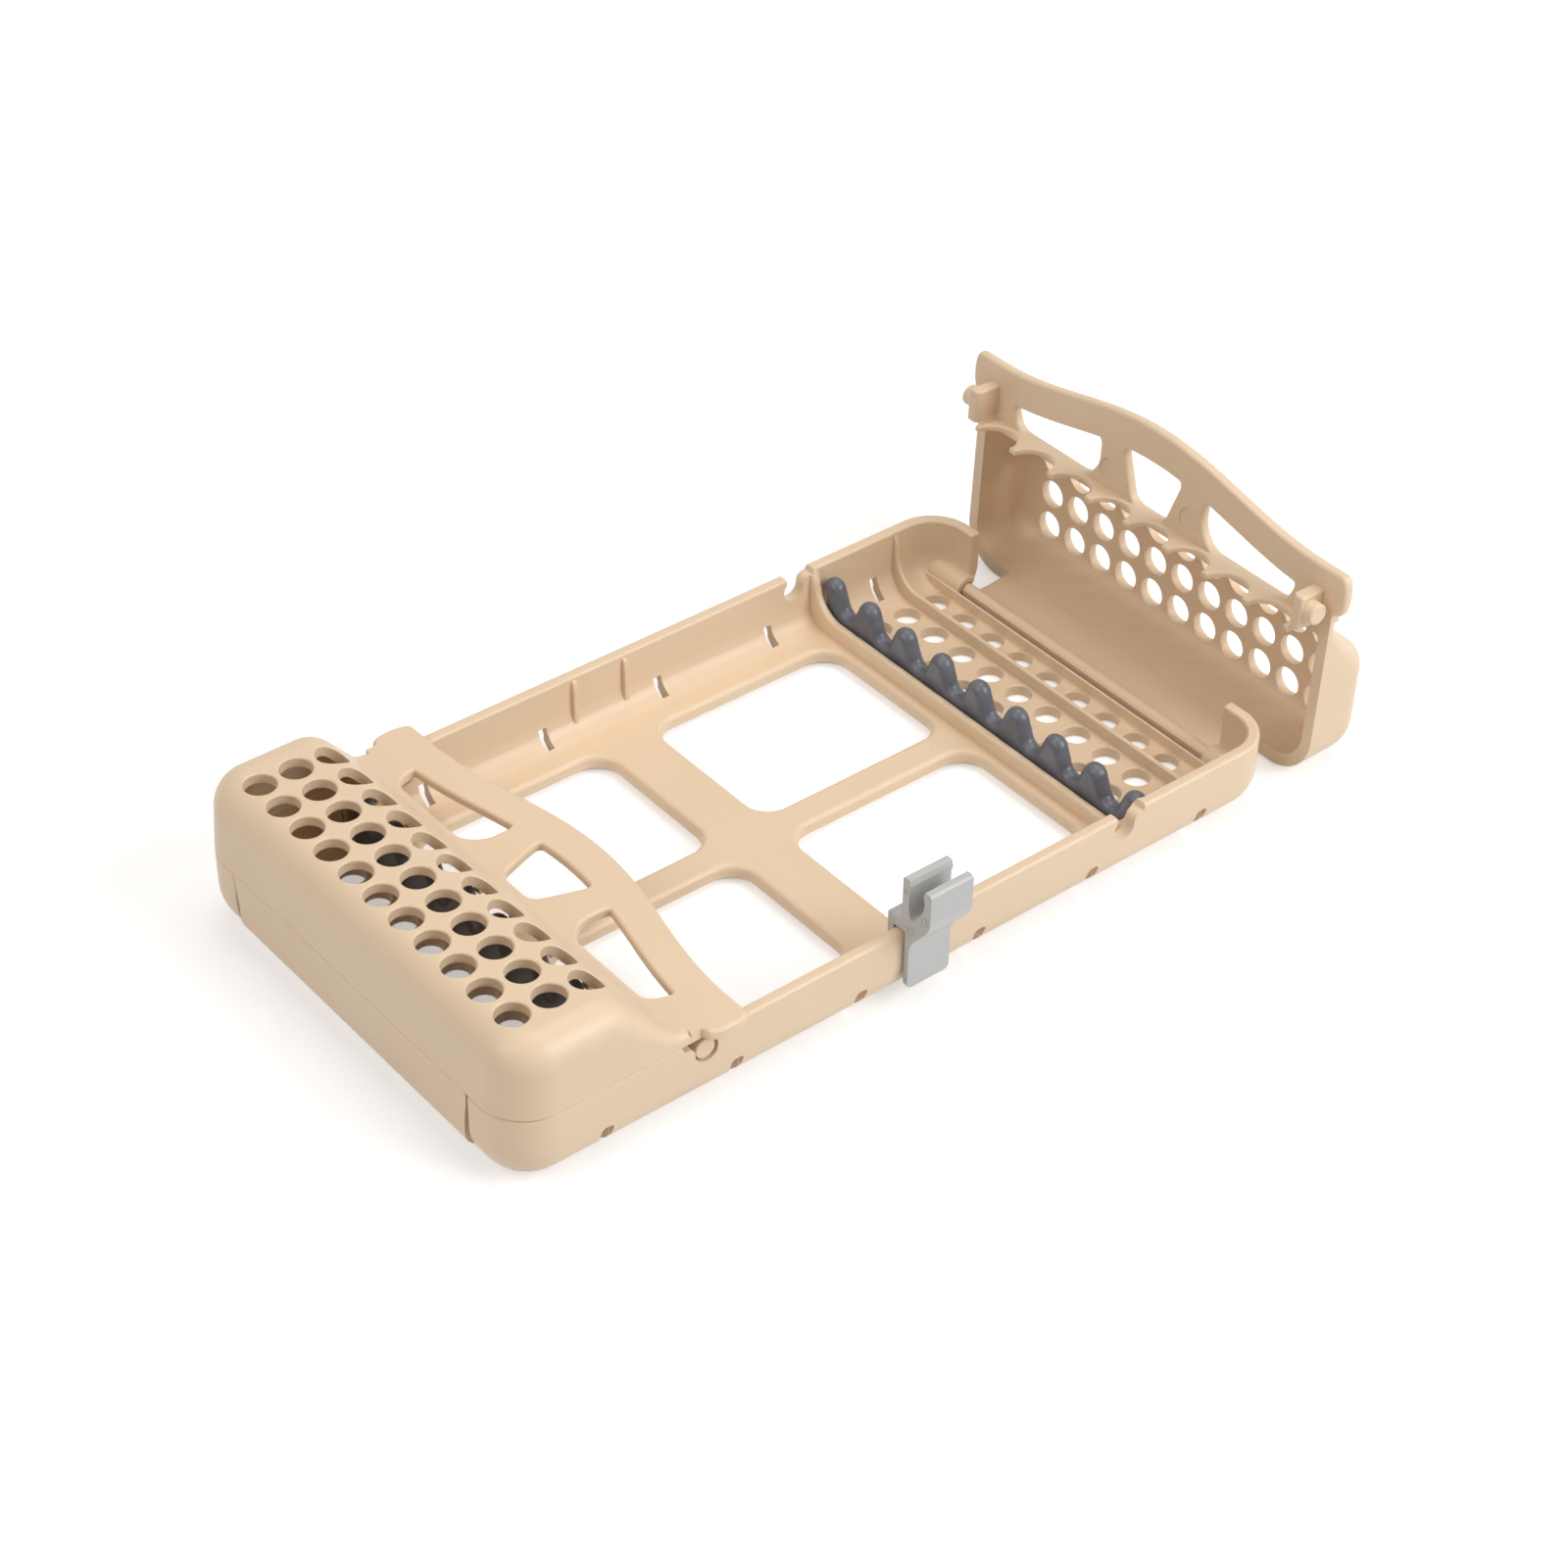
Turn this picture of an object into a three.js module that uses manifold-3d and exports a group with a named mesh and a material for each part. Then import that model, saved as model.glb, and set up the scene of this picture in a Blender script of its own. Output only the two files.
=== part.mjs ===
// Dental instrument cassette: a moulded tray with a hinged lid at each end, two
// silicone rails that keep the instruments apart, and a clip on one side wall.
// The lid at -X is shut and the one at +X is open. Millimetres, +Z up. The origin
// is on the tray's underside, under the middle of the cross between its windows.
import * as THREE from 'three';
import { mergeVertices } from 'three/addons/utils/BufferGeometryUtils.js';
import Module from 'manifold-3d';

const wasm = await Module();
wasm.setup();

// Values that every piece shares
const gap = 0.3; // between pieces that touch
const overrun = 2; // how far a cutter passes the face that it cuts
const quarter = Math.PI / 2;
const degree = Math.PI / 180;

// Tray
const trayLength = 205;
const trayWidth = 114.4;
const wallHeight = 19;
const wallThickness = 2.8;
const floorThickness = 2.6; // under the rails and the holes
const middleRise = 1.8; // the floor round the windows stands this much higher
const middleRadius = 5.5; // inside, where that floor turns up into the walls
const sweepRadius = 7.7; // inside, where the ribs across the tray turn up
const bottomRadius = 10.5; // outside, where the walls turn into the floor
const cornerRadius = 11; // in plan, at the four corners
const mouthWidth = 84; // open end between the two corners, where the lid's wall stands
const windowLength = 51.5;
const windowWidth = 40.4;
const windowRadius = 6;
const windowFoot = 1.5; // below this height the windows' edges lean away
const crossBarWidth = 13.8;
const spineWidth = 8;
const drainWidth = 2.2;
const drainBottom = 4.8;
const drainTop = 8.7;
const drainPitch = 32;
const drainCount = 6;
const floorHoleDiameter = 6.2;
const floorHolePitch = 9.8;
const floorHoleCount = 10;
const floorRowPitch = 8.9;
const floorRowCount = 3;
const floorRowInset = 11.3; // last row to the end of the tray
const floorEndInset = 7.3; // the floor stops here, inboard of the hinge rod
const ledgeThickness = 0.8;
const ledgeHeight = 3.1;
const acrossRibThickness = 1.2;
const acrossRibHeight = 3.2;
const acrossRibDepth = 1.2;
const lipThickness = 2.1;
const lipHeight = 5.6;
const lipDepth = 2;
const lipInset = 41.6; // end of the tray to the lip's inboard face
const ribTaper = 6; // length over which a rib dies out up the wall
const stopThickness = 1.1;
const stopHeight = 13;
const stopDepth = 1.3;
const clipRibSpacing = 14;
const clipRibThickness = 1.2;
const clipRibDepth = 1.1;
const clipRibFoot = 4.5;
const bossRadius = 3.1;
const bossReach = 13.4; // from the side wall's inner face to the end of the boss

// Hinge and latch, which tray and lids share
const hingeInset = 4.2; // rod axis to the end of the tray
const hingeHeight = 5.1;
const rodRadius = 1.5;
const rodClearance = 0.35;
const rodEntry = 3; // length of rod inside each boss
const pinRadius = 2.5;
const pinInset = 46.5; // pin axis to the end of the tray
const pinHeight = 15.45;
const pinRecess = 0.4; // side wall's outer face to the end of the pin
const seatClearance = 0.4;
const neckClearance = 0.15;
const notchLipRadius = 2;
const openAngle = 92.4;

// Lid
const lidHeight = 36.4;
const lidTopThickness = 2.4;
const lidEdgeRadius = 7;
const edgeShare = 0.75; // of a low section's height, taken by its rounded edges
const lidDraft = 5; // lean of the end wall, in degrees
const slopeAngle = 51;
const slopeBreakRadius = 8;
const slopeFootInset = 39.742; // where the slope's line meets the grip, from the end
const footRadius = 2.5;
const lidHoleDiameter = 7.1;
const lidHolePitch = 8.91;
const lidHoleCount = 11;
const lidRowPitch = 8.7;
const lidRowCount = 3;
const lidRowInset = 9.6;
const tailRadius = 5; // under the hinge rod
const tailDrop = 2; // rod axis to the lowest point of the end wall
const tailShoulderHeight = 10.5;
const tailShoulderRise = 7;
const gripThickness = 2.6;
const gripReach = 55.5; // end of the tray to the grip's edge beside the walls
const gripBulge = 7.7; // how much further its middle reaches
const gripBulgeWidth = 104;
const earLength = 10.2;
const earReach = 3;
const gripBand = 8.6; // between the windows and the inboard edge
const gripWindowRadius = 2.2;
const midWindowWidth = 18.6;
const midWindowTaper = 4.2;
const webWidth = 7.4;
const sideWindowEnd = 45.8;
const sideWindowKnee = 4.4; // outboard edge to where the inner end starts to lean
const sideWindowTaperIn = 3.3;
const sideWindowTaperOut = 2.2;
const combThickness = 1.6;
const combInset = 40; // end of the tray to the comb's outboard face
const cuspHeight = 14;
const scallopRadius = 5.6;
const blockLength = 7.9;
const blockInset = 42.3; // end of the tray to the block's outboard face
const blockWidth = 3.2;
const blockBottom = 12.6;
const blockChamfer = 0.9;

// Rails
const railThickness = 4.4;
const railInset = 34.8; // end of the tray to the rail's outboard face
const railPeak = 16.6;
const railValley = 9.6;
const railPitch = 12.7;
const railBumps = 9;
const railRound = 1.9;
const railEnd = 2.6; // rail beyond the centre of its last bump

// Clip
const clipLength = 11.3;
const clipInnerLeg = 1.9;
const clipInnerDepth = 7;
const clipBridge = 2.4;
const clipPlate = 1.45;
const clipFootHeight = 4.8; // table to the underside of its outer leg
const jawRise = 14.4; // wall's rim to the top of the jaws
const jawReach = 7.9; // wall's outer face to the outer jaw's outer face
const innerJawThickness = 2;
const outerJawThickness = 2;
const throatWidth = 1.7;
const throatRise = 4.1; // wall's rim to the bottom of the slot
const throatHeight = 4;
const jawBarb = 0.5;
const jawBarbHeight = 2.8;
const shoulderRise = 7.5; // wall's rim to the foot of the outer jaw's outer face
const shoulderDrop = 12; // height over which the outer jaw runs down into the leg

// Facets on round shapes
const floorHoleSides = 8;
const lidHoleSides = 8;
const pinSides = 16;
const bossSides = 12;
const reliefSides = 48;
const filletSteps = 4;
const cornerSteps = 4;
const sectionSteps = 4;
const gripSteps = 14;
const earSteps = 8;
const windowSteps = 5;
const reliefSteps = 8;
const railStepsPerBump = 6;
const railSideSteps = 3;

// Places worked out from the sizes above
const endX = trayLength / 2;
const sideY = trayWidth / 2;
const innerY = sideY - wallThickness;
const hingeX = endX - hingeInset;
const pinX = endX - pinInset;
const lidBottom = wallHeight + gap;
const gripTop = lidBottom + gripThickness;
const bossEndY = innerY - bossReach;
const lipX = endX - lipInset;
const railInnerX = endX - railInset - railThickness;
const slopeRun = (lidHeight - gripTop) / Math.tan(slopeAngle * degree);
const slopeTopX = endX - slopeFootInset + slopeRun;

// Turns a closed geometry into a solid that can be joined and cut
function solid(geometry) {
  const bare = geometry.clone();
  bare.deleteAttribute('normal');
  bare.deleteAttribute('uv');
  const merged = mergeVertices(bare, 1e-4);
  const corners = merged.index.array;
  const kept = [];
  for (let i = 0; i < corners.length; i += 3) {
    const [a, b, c] = [corners[i], corners[i + 1], corners[i + 2]];
    if (a !== b && b !== c && c !== a) kept.push(a, b, c);
  }
  const vertProperties = new Float32Array(merged.attributes.position.array);
  const triVerts = new Uint32Array(kept);
  return new wasm.Manifold(new wasm.Mesh({ numProp: 3, vertProperties, triVerts }));
}

// Turns a finished solid into a named mesh
function piece(name, body, color, roughness) {
  const { vertProperties, triVerts } = body.getMesh();
  const geometry = new THREE.BufferGeometry();
  geometry.setAttribute('position', new THREE.BufferAttribute(new Float32Array(vertProperties), 3));
  geometry.setIndex(new THREE.BufferAttribute(new Uint32Array(triVerts), 1));
  geometry.computeVertexNormals();
  const look = { color, roughness, metalness: 0, flatShading: true };
  const mesh = new THREE.Mesh(geometry, new THREE.MeshStandardMaterial(look));
  mesh.name = name;
  return mesh;
}

function box(x0, x1, y0, y1, z0, z1) {
  const geometry = new THREE.BoxGeometry(x1 - x0, y1 - y0, z1 - z0);
  geometry.translate((x0 + x1) / 2, (y0 + y1) / 2, (z0 + z1) / 2);
  return solid(geometry);
}

// Prisms: an outline in plan that rises in Z, one drawn in X and Z that runs along
// Y, and one drawn in Y and Z that runs along X
function prism(shape, depth) {
  return new THREE.ExtrudeGeometry(shape, { depth, bevelEnabled: false, curveSegments: cornerSteps });
}

function rise(shape, z0, z1) {
  const geometry = prism(shape, z1 - z0);
  geometry.translate(0, 0, z0);
  return solid(geometry);
}

function alongY(shape, y0, y1) {
  const geometry = prism(shape, y1 - y0);
  geometry.rotateX(quarter);
  geometry.translate(0, y1, 0);
  return solid(geometry);
}

function alongX(shape, x0, x1) {
  const geometry = prism(shape, x1 - x0);
  geometry.rotateX(quarter);
  geometry.rotateZ(quarter);
  geometry.translate(x0, 0, 0);
  return solid(geometry);
}

function rodAlongY(x, z, radius, y0, y1, sides) {
  const geometry = new THREE.CylinderGeometry(radius, radius, y1 - y0, sides);
  geometry.translate(x, (y0 + y1) / 2, z);
  return solid(geometry);
}

// A round hole's cutter, upright, with its middle at a height
function borer(x, y, z, diameter, depth, sides) {
  const geometry = new THREE.CylinderGeometry(diameter / 2, diameter / 2, depth, sides);
  geometry.rotateX(quarter);
  geometry.translate(x, y, z);
  return solid(geometry);
}

function outline(points) {
  return new THREE.Shape(points.map(([u, v]) => new THREE.Vector2(u, v)));
}

// A closed outline that turns each corner in a curve, which starts and ends at the
// corner's own reach along its two sides
function softOutline(corners) {
  const shape = new THREE.Shape();
  corners.forEach(([u, v, reach], i) => {
    const neighbours = [corners.at(i - 1), corners[(i + 1) % corners.length]];
    const [start, end] = neighbours.map((other) => {
      const share = Math.min(reach / Math.hypot(other[0] - u, other[1] - v), 1 / 2);
      return [u + (other[0] - u) * share, v + (other[1] - v) * share];
    });
    if (i === 0) shape.moveTo(...start);
    else shape.lineTo(...start);
    if (reach > 0) shape.quadraticCurveTo(u, v, ...end);
  });
  return shape;
}

function join(solids) {
  return wasm.Manifold.union(solids);
}

// A copy of a solid, moved, turned or mirrored by a matrix
function copied(body, matrix) {
  const { vertProperties, triVerts } = body.getMesh();
  const geometry = new THREE.BufferGeometry();
  geometry.setAttribute('position', new THREE.BufferAttribute(new Float32Array(vertProperties), 3));
  const corners = Array.from(triVerts);
  geometry.setIndex(matrix.determinant() < 0 ? corners.reverse() : corners);
  geometry.applyMatrix4(matrix);
  return solid(geometry);
}

function mirrored(body) {
  return copied(body, new THREE.Matrix4().makeScale(1, -1, 1));
}

// The solid and its copy at the other end of the tray, half a turn about Z
function bothEnds(body) {
  return join([body, copied(body, new THREE.Matrix4().makeRotationZ(2 * quarter))]);
}

// Skins a list of rings that have the same number of points, and closes both ends
function loft(rings) {
  const count = rings[0].length;
  const index = [];
  for (let i = 0; i + 1 < rings.length; i += 1) {
    for (let j = 0; j < count; j += 1) {
      const a = i * count + j;
      const b = i * count + ((j + 1) % count);
      index.push(a, b, b + count, a, b + count, a + count);
    }
  }
  const last = (rings.length - 1) * count;
  for (let j = 1; j + 1 < count; j += 1) {
    index.push(0, j + 1, j);
    index.push(last, last + j, last + j + 1);
  }
  const geometry = new THREE.BufferGeometry();
  geometry.setAttribute('position', new THREE.Float32BufferAttribute(rings.flat(2), 3));
  geometry.setIndex(index);
  return solid(geometry);
}

// Corner points of a rectangle with round corners, anticlockwise from above
function roundRectangle(halfX, halfY, radius, steps) {
  const points = [];
  for (let corner = 0; corner < 4; corner += 1) {
    const signX = corner === 0 || corner === 3 ? 1 : -1;
    const signY = corner < 2 ? 1 : -1;
    for (let i = 0; i <= steps; i += 1) {
      const angle = quarter * (corner + i / steps);
      const x = signX * (halfX - radius) + radius * Math.cos(angle);
      const y = signY * (halfY - radius) + radius * Math.sin(angle);
      points.push([x, y]);
    }
  }
  return points;
}

// A tub's solid form: straight sides, round corners and a rounded bottom edge, all set
// in from the tray's outside by a skin
function tub(skin, z0, z1) {
  const [halfX, halfY] = [endX - skin, sideY - skin];
  const [corner, edge] = [cornerRadius - skin, bottomRadius - skin];
  const rings = [];
  for (let i = 0; i <= filletSteps; i += 1) {
    const angle = (quarter * i) / filletSteps;
    const inset = edge * (1 - Math.sin(angle));
    const z = z0 + edge * (1 - Math.cos(angle));
    const turn = corner - inset * Math.min(1, corner / (edge + gap));
    const ring = roundRectangle(halfX - inset, halfY - inset, turn, cornerSteps);
    rings.push(ring.map(([x, y]) => [x, y, z]));
  }
  const rim = roundRectangle(halfX, halfY, corner, cornerSteps);
  rings.push(rim.map(([x, y]) => [x, y, z1]));
  return loft(rings);
}

// A rib, or a raised floor, across the tray: it sweeps up both walls by its depth and
// dies out under their rims. Like all that stands on the walls and the floor, it ends
// inside them, at the core.
function sweptRib(x0, thickness, height, depth, radius, core) {
  const half = innerY - depth;
  const floor = floorThickness + height;
  const channel = new THREE.Shape();
  channel.moveTo(-innerY, wallHeight);
  channel.lineTo(-half, wallHeight - ribTaper);
  channel.lineTo(-half, floor + radius);
  channel.absarc(-half + radius, floor + radius, radius, 2 * quarter, 3 * quarter, false);
  channel.absarc(half - radius, floor + radius, radius, 3 * quarter, 4 * quarter, false);
  channel.lineTo(half, wallHeight - ribTaper);
  channel.lineTo(innerY, wallHeight);
  const slab = box(x0, x0 + thickness, -sideY, sideY, 0, wallHeight);
  const cut = alongX(channel, x0 - overrun, x0 + thickness + overrun);
  return slab.subtract(cut).intersect(core);
}

// The keyhole notch: a seat for the pin, and a neck that follows the pin's way out
function notch() {
  const [y0, y1] = [innerY - overrun, sideY + overrun];
  const seat = rodAlongY(pinX, pinHeight, pinRadius + seatClearance, y0, y1, pinSides);
  const half = pinRadius + neckClearance;
  const swing = Math.hypot(pinX - hingeX, pinHeight - hingeHeight);
  const start = Math.atan2(pinHeight - hingeHeight, pinX - hingeX);
  const climb = wallHeight + overrun - pinHeight;
  const inner = [];
  const outer = [];
  for (let i = 0; i <= filletSteps; i += 1) {
    const angle = start - (climb / swing) * (i / filletSteps);
    const [alongSwing, upSwing] = [Math.cos(angle), Math.sin(angle)];
    const past = hingeHeight + swing * upSwing - (wallHeight - notchLipRadius);
    const flare = Math.min(Math.max(0, past), notchLipRadius);
    const reach = half + notchLipRadius - Math.sqrt(notchLipRadius ** 2 - flare ** 2);
    inner.push([hingeX + (swing + reach) * alongSwing, hingeHeight + (swing + reach) * upSwing]);
    outer.push([hingeX + (swing - reach) * alongSwing, hingeHeight + (swing - reach) * upSwing]);
  }
  return seat.add(alongY(outline([...inner, ...outer.reverse()]), y0, y1));
}

// One floor window's cutter: straight, and below the foot's height it flares out
function windowCut(sideSign) {
  const x = (crossBarWidth + windowLength) / 2;
  const y = (sideSign * (spineWidth + windowWidth)) / 2;
  const rings = [
    [0, floorThickness + middleRise + overrun],
    [0, windowFoot],
    [windowFoot, 0],
    [windowFoot, -overrun],
  ].map(([flare, z]) => {
    const [halfX, halfY] = [windowLength / 2 + flare, windowWidth / 2 + flare];
    const ring = roundRectangle(halfX, halfY, windowRadius + flare, cornerSteps);
    return ring.map(([u, v]) => [x + u, y + v, z]);
  });
  return loft(rings.reverse());
}

// The ribs, stops and hinge boss along one side wall's inner face, for the end at +X
function wallRibs(sideSign, core) {
  const across = (from, to) => [sideSign * from, sideSign * to].sort((a, b) => a - b);
  const inWall = sideY - wallThickness / 2;
  const stopX = railInnerX + railThickness + gap;
  const ribX = (clipRibSpacing - clipRibThickness) / 2;
  const ribTop = wallHeight - gap;
  const stopY = across(innerY - stopDepth, inWall);
  const ribY = across(innerY - clipRibDepth, inWall);
  const bossY = across(bossEndY, inWall);
  return [
    box(stopX, stopX + stopThickness, ...stopY, bottomRadius, stopHeight),
    box(ribX, ribX + clipRibThickness, ...ribY, clipRibFoot, ribTop).intersect(core),
    rodAlongY(hingeX, hingeHeight, bossRadius, ...bossY, bossSides).intersect(core),
  ];
}

function tray() {
  const block = tub(0, 0, wallHeight);
  const inside = tub(wallThickness, floorThickness, wallHeight + overrun);
  const core = tub(wallThickness / 2, floorThickness / 2, wallHeight);
  const floorEnd = endX - floorEndInset;
  const mouthTop = wallHeight + overrun;
  const mouth = box(floorEnd, endX + overrun, -mouthWidth / 2, mouthWidth / 2, -overrun, mouthTop);

  const pinNotch = notch();
  const cuts = [windowCut(-1), windowCut(1), pinNotch, mirrored(pinNotch)];
  for (let row = 0; row < floorRowCount; row += 1) {
    for (let i = 0; i < floorHoleCount; i += 1) {
      const x = endX - floorRowInset - row * floorRowPitch;
      const y = (i - (floorHoleCount - 1) / 2) * floorHolePitch;
      cuts.push(borer(x, y, 0, floorHoleDiameter, 2 * (floorThickness + overrun), floorHoleSides));
    }
  }

  const acrossX = endX - floorRowInset - (floorRowPitch + acrossRibThickness) / 2;
  const ledgeX = floorEnd - ledgeThickness;
  const ledge = box(ledgeX, floorEnd, -innerY, innerY, 0, floorThickness + ledgeHeight);
  const ribs = [
    sweptRib(lipX, lipThickness, lipHeight, lipDepth, sweepRadius, core),
    sweptRib(acrossX, acrossRibThickness, acrossRibHeight, acrossRibDepth, sweepRadius, core),
    ledge.intersect(core),
    ...wallRibs(-1, core),
    ...wallRibs(1, core),
  ];
  const bores = [];
  for (const sideSign of [-1, 1]) {
    const ends = [bossEndY - overrun, bossEndY + rodEntry + gap].map((y) => sideSign * y);
    const [y0, y1] = [Math.min(...ends), Math.max(...ends)];
    bores.push(rodAlongY(hingeX, hingeHeight, rodRadius + rodClearance, y0, y1, bossSides));
  }

  const drains = [];
  for (let i = 0; i < drainCount; i += 1) {
    const x = (i - (drainCount - 1) / 2) * drainPitch;
    for (const sideSign of [-1, 1]) {
      const ends = [innerY - bottomRadius, sideY + overrun].map((y) => sideSign * y);
      const [y0, y1] = [Math.min(...ends), Math.max(...ends)];
      drains.push(box(x - drainWidth / 2, x + drainWidth / 2, y0, y1, drainBottom, drainTop));
    }
  }

  const middle = sweptRib(-lipX, 2 * lipX, middleRise, 0, middleRadius, core);
  const added = bothEnds(join(ribs)).add(middle);
  const body = block.subtract(inside).subtract(bothEnds(mouth)).add(added);
  return body.subtract(bothEnds(join([...cuts, ...bores]))).subtract(join(drains));
}

// Height of the lid's outside over a place along X, with its skin set in by a
// thickness for the hollow
function lidTopAt(x, skin) {
  const angle = slopeAngle * degree;
  const top = lidHeight - skin;
  const breakRadius = Math.max(slopeBreakRadius - skin, gap);
  const meet = slopeTopX + skin * Math.tan(angle / 2);
  const tangent = breakRadius * Math.tan(angle / 2);
  if (x >= meet + tangent) return top;
  if (x >= meet - tangent * Math.cos(angle)) {
    return top - breakRadius + Math.sqrt(breakRadius ** 2 - (meet + tangent - x) ** 2);
  }
  return top - (meet - x) * Math.tan(angle);
}

// A section of the lid at one place along X: flat below, with round upper corners
// that blend into the round corners at the end
function lidSection(x, z0, top, side, skin) {
  const end = endX - side;
  const corner = cornerRadius - side;
  const centre = end - corner;
  const edge = Math.min(lidEdgeRadius - skin, (top - z0) * edgeShare);
  const depth = Math.min(edge, end - x);
  const lastAngle = Math.acos(1 - depth / edge);
  const half = [];
  for (let i = 0; i <= sectionSteps; i += 1) {
    const angle = (lastAngle * i) / sectionSteps;
    const inset = edge * (1 - Math.cos(angle));
    const round = Math.sqrt(Math.max(0, (corner - inset) ** 2 - Math.max(0, x - centre) ** 2));
    half.push([sideY - side - corner + round, top - edge + edge * Math.sin(angle)]);
  }
  const lean = Math.tan(lidDraft * degree) * Math.max(0, (x - centre) / corner);
  const foot = half[0][0];
  const points = [[-foot, z0], [foot, z0], ...half, ...half.map(([y, z]) => [-y, z]).reverse()];
  return points.map(([y, z]) => [x - lean * Math.max(0, z - lidBottom), y, z]);
}

// The lid's form, or its hollow, as sections from the grip to the end wall. A form
// that starts ahead of its slope's foot runs level up to it.
function lidForm(startX, z0, side, skin, startTop) {
  const corner = cornerRadius - side;
  const angle = slopeAngle * degree;
  const meet = slopeTopX + skin * Math.tan(angle / 2);
  const tangent = Math.max(slopeBreakRadius - skin, gap) * Math.tan(angle / 2);
  const breakStart = meet - tangent * Math.cos(angle);
  const foot = meet - (lidHeight - skin - startTop) / Math.tan(angle);
  const hasFoot = foot > startX + gap;
  const stations = [startX];
  if (hasFoot) stations.push(foot - footRadius / 2, foot + footRadius / 4, foot + footRadius);
  for (let i = 0; i <= cornerSteps; i += 1) {
    stations.push(breakStart + ((meet + tangent - breakStart) * i) / cornerSteps);
  }
  for (let i = 0; i <= cornerSteps; i += 1) {
    stations.push(endX - side - corner + corner * Math.sin((quarter * i) / cornerSteps));
  }
  return loft(
    stations.map((x) => {
      const slope = lidTopAt(x, skin);
      const blend = (slope - startTop) / footRadius;
      const lifted = Math.abs(blend) < 1 ? startTop + (footRadius * (blend + 1) ** 2) / 4 : slope;
      return lidSection(x, z0, hasFoot ? Math.max(startTop, lifted) : slope, side, skin);
    }),
  );
}

// Inboard edge of the grip: a wide wave that reaches furthest at the middle
function gripEdge(y) {
  const along = Math.min(1, Math.abs(y) / (gripBulgeWidth / 2));
  return endX - gripReach - (gripBulge * (1 + Math.cos(along * 2 * quarter))) / 2;
}

function gripPlate() {
  const edge = [];
  for (let i = 0; i <= gripSteps; i += 1) {
    const y = sideY * (1 - (2 * i) / gripSteps);
    edge.push([gripEdge(y), y]);
  }
  const earEnd = gripEdge(sideY) + earLength;
  const back = earEnd + gripThickness;
  const ear = [];
  for (let i = 1; i < earSteps; i += 1) {
    const angle = (2 * quarter * i) / earSteps;
    const x = earEnd - (earLength / 2) * (1 + Math.cos(angle));
    ear.push([x, sideY + earReach * Math.sqrt(Math.sin(angle))]);
  }
  const nearEar = [...ear.map(([x, y]) => [x, -y]), [earEnd, -sideY]];
  const farEar = [[earEnd, sideY], ...ear.reverse()];
  return rise(outline([...edge, ...nearEar, [back, -sideY], [back, sideY], ...farEar]), lidBottom, gripTop);
}

// One opening of the grip between two places along Y. Its inboard side follows the
// edge, the outboard one is flush with the comb's face, and each end leans in by a
// taper on its way outboard, the inner one from a knee where it has one.
function gripWindow(yIn, yOut, taperIn, taperOut, knee) {
  const outX = endX - combInset - combThickness;
  const inboard = [];
  for (let i = 0; i <= windowSteps; i += 1) {
    const y = yIn + ((yOut - yIn) * i) / windowSteps;
    const reach = i === 0 || i === windowSteps ? gripWindowRadius : 0;
    inboard.push([gripEdge(y) + gripBand, y, reach]);
  }
  const outboard = [
    [outX, yOut - taperOut, gripWindowRadius],
    [outX, yIn + taperIn, gripWindowRadius],
  ];
  if (knee > 0) outboard.push([outX - knee, yIn, gripWindowRadius]);
  const shape = softOutline([...inboard, ...outboard]);
  return rise(shape, lidBottom - overrun, gripTop + overrun);
}

// The comb that comes down over the instruments, with a scallop for each one
function comb() {
  const x1 = endX - combInset;
  const x0 = x1 - combThickness;
  const count = railBumps - 1;
  const half = (count * railPitch) / 2;
  const slab = box(x0, x1, -half, half, cuspHeight, lidBottom + gripThickness / 2);
  const scallops = [];
  const length = combThickness + 2 * overrun;
  for (let i = 0; i < count; i += 1) {
    const scallop = new THREE.CylinderGeometry(scallopRadius, scallopRadius, length, pinSides);
    scallop.rotateZ(quarter);
    scallop.translate((x0 + x1) / 2, (i - (count - 1) / 2) * railPitch, cuspHeight);
    scallops.push(solid(scallop));
  }
  const root = outline([
    [x0 - combThickness, lidBottom + gripThickness / 2],
    [x0 - combThickness, lidBottom],
    [x0, lidBottom - combThickness],
    [x1, lidBottom - combThickness],
    [x1 + combThickness, lidBottom],
    [x1 + combThickness, lidBottom + gripThickness / 2],
  ]);
  return slab.add(alongY(root, -half, half)).subtract(join(scallops));
}

// The block that hangs beside the wall and carries the latch pin
function latchBlock() {
  const x1 = endX - blockInset;
  const x0 = x1 - blockLength;
  const y1 = innerY - gap;
  const y0 = y1 - blockWidth;
  const shape = outline([
    [y0 + blockChamfer, blockBottom],
    [y1, blockBottom],
    [y1, gripTop - gap],
    [y0, gripTop - gap],
    [y0, blockBottom + blockChamfer],
  ]);
  const pin = rodAlongY(pinX, pinHeight, pinRadius, y1 - blockWidth / 2, sideY - pinRecess, pinSides);
  return alongX(shape, x0, x1).add(pin);
}

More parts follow.
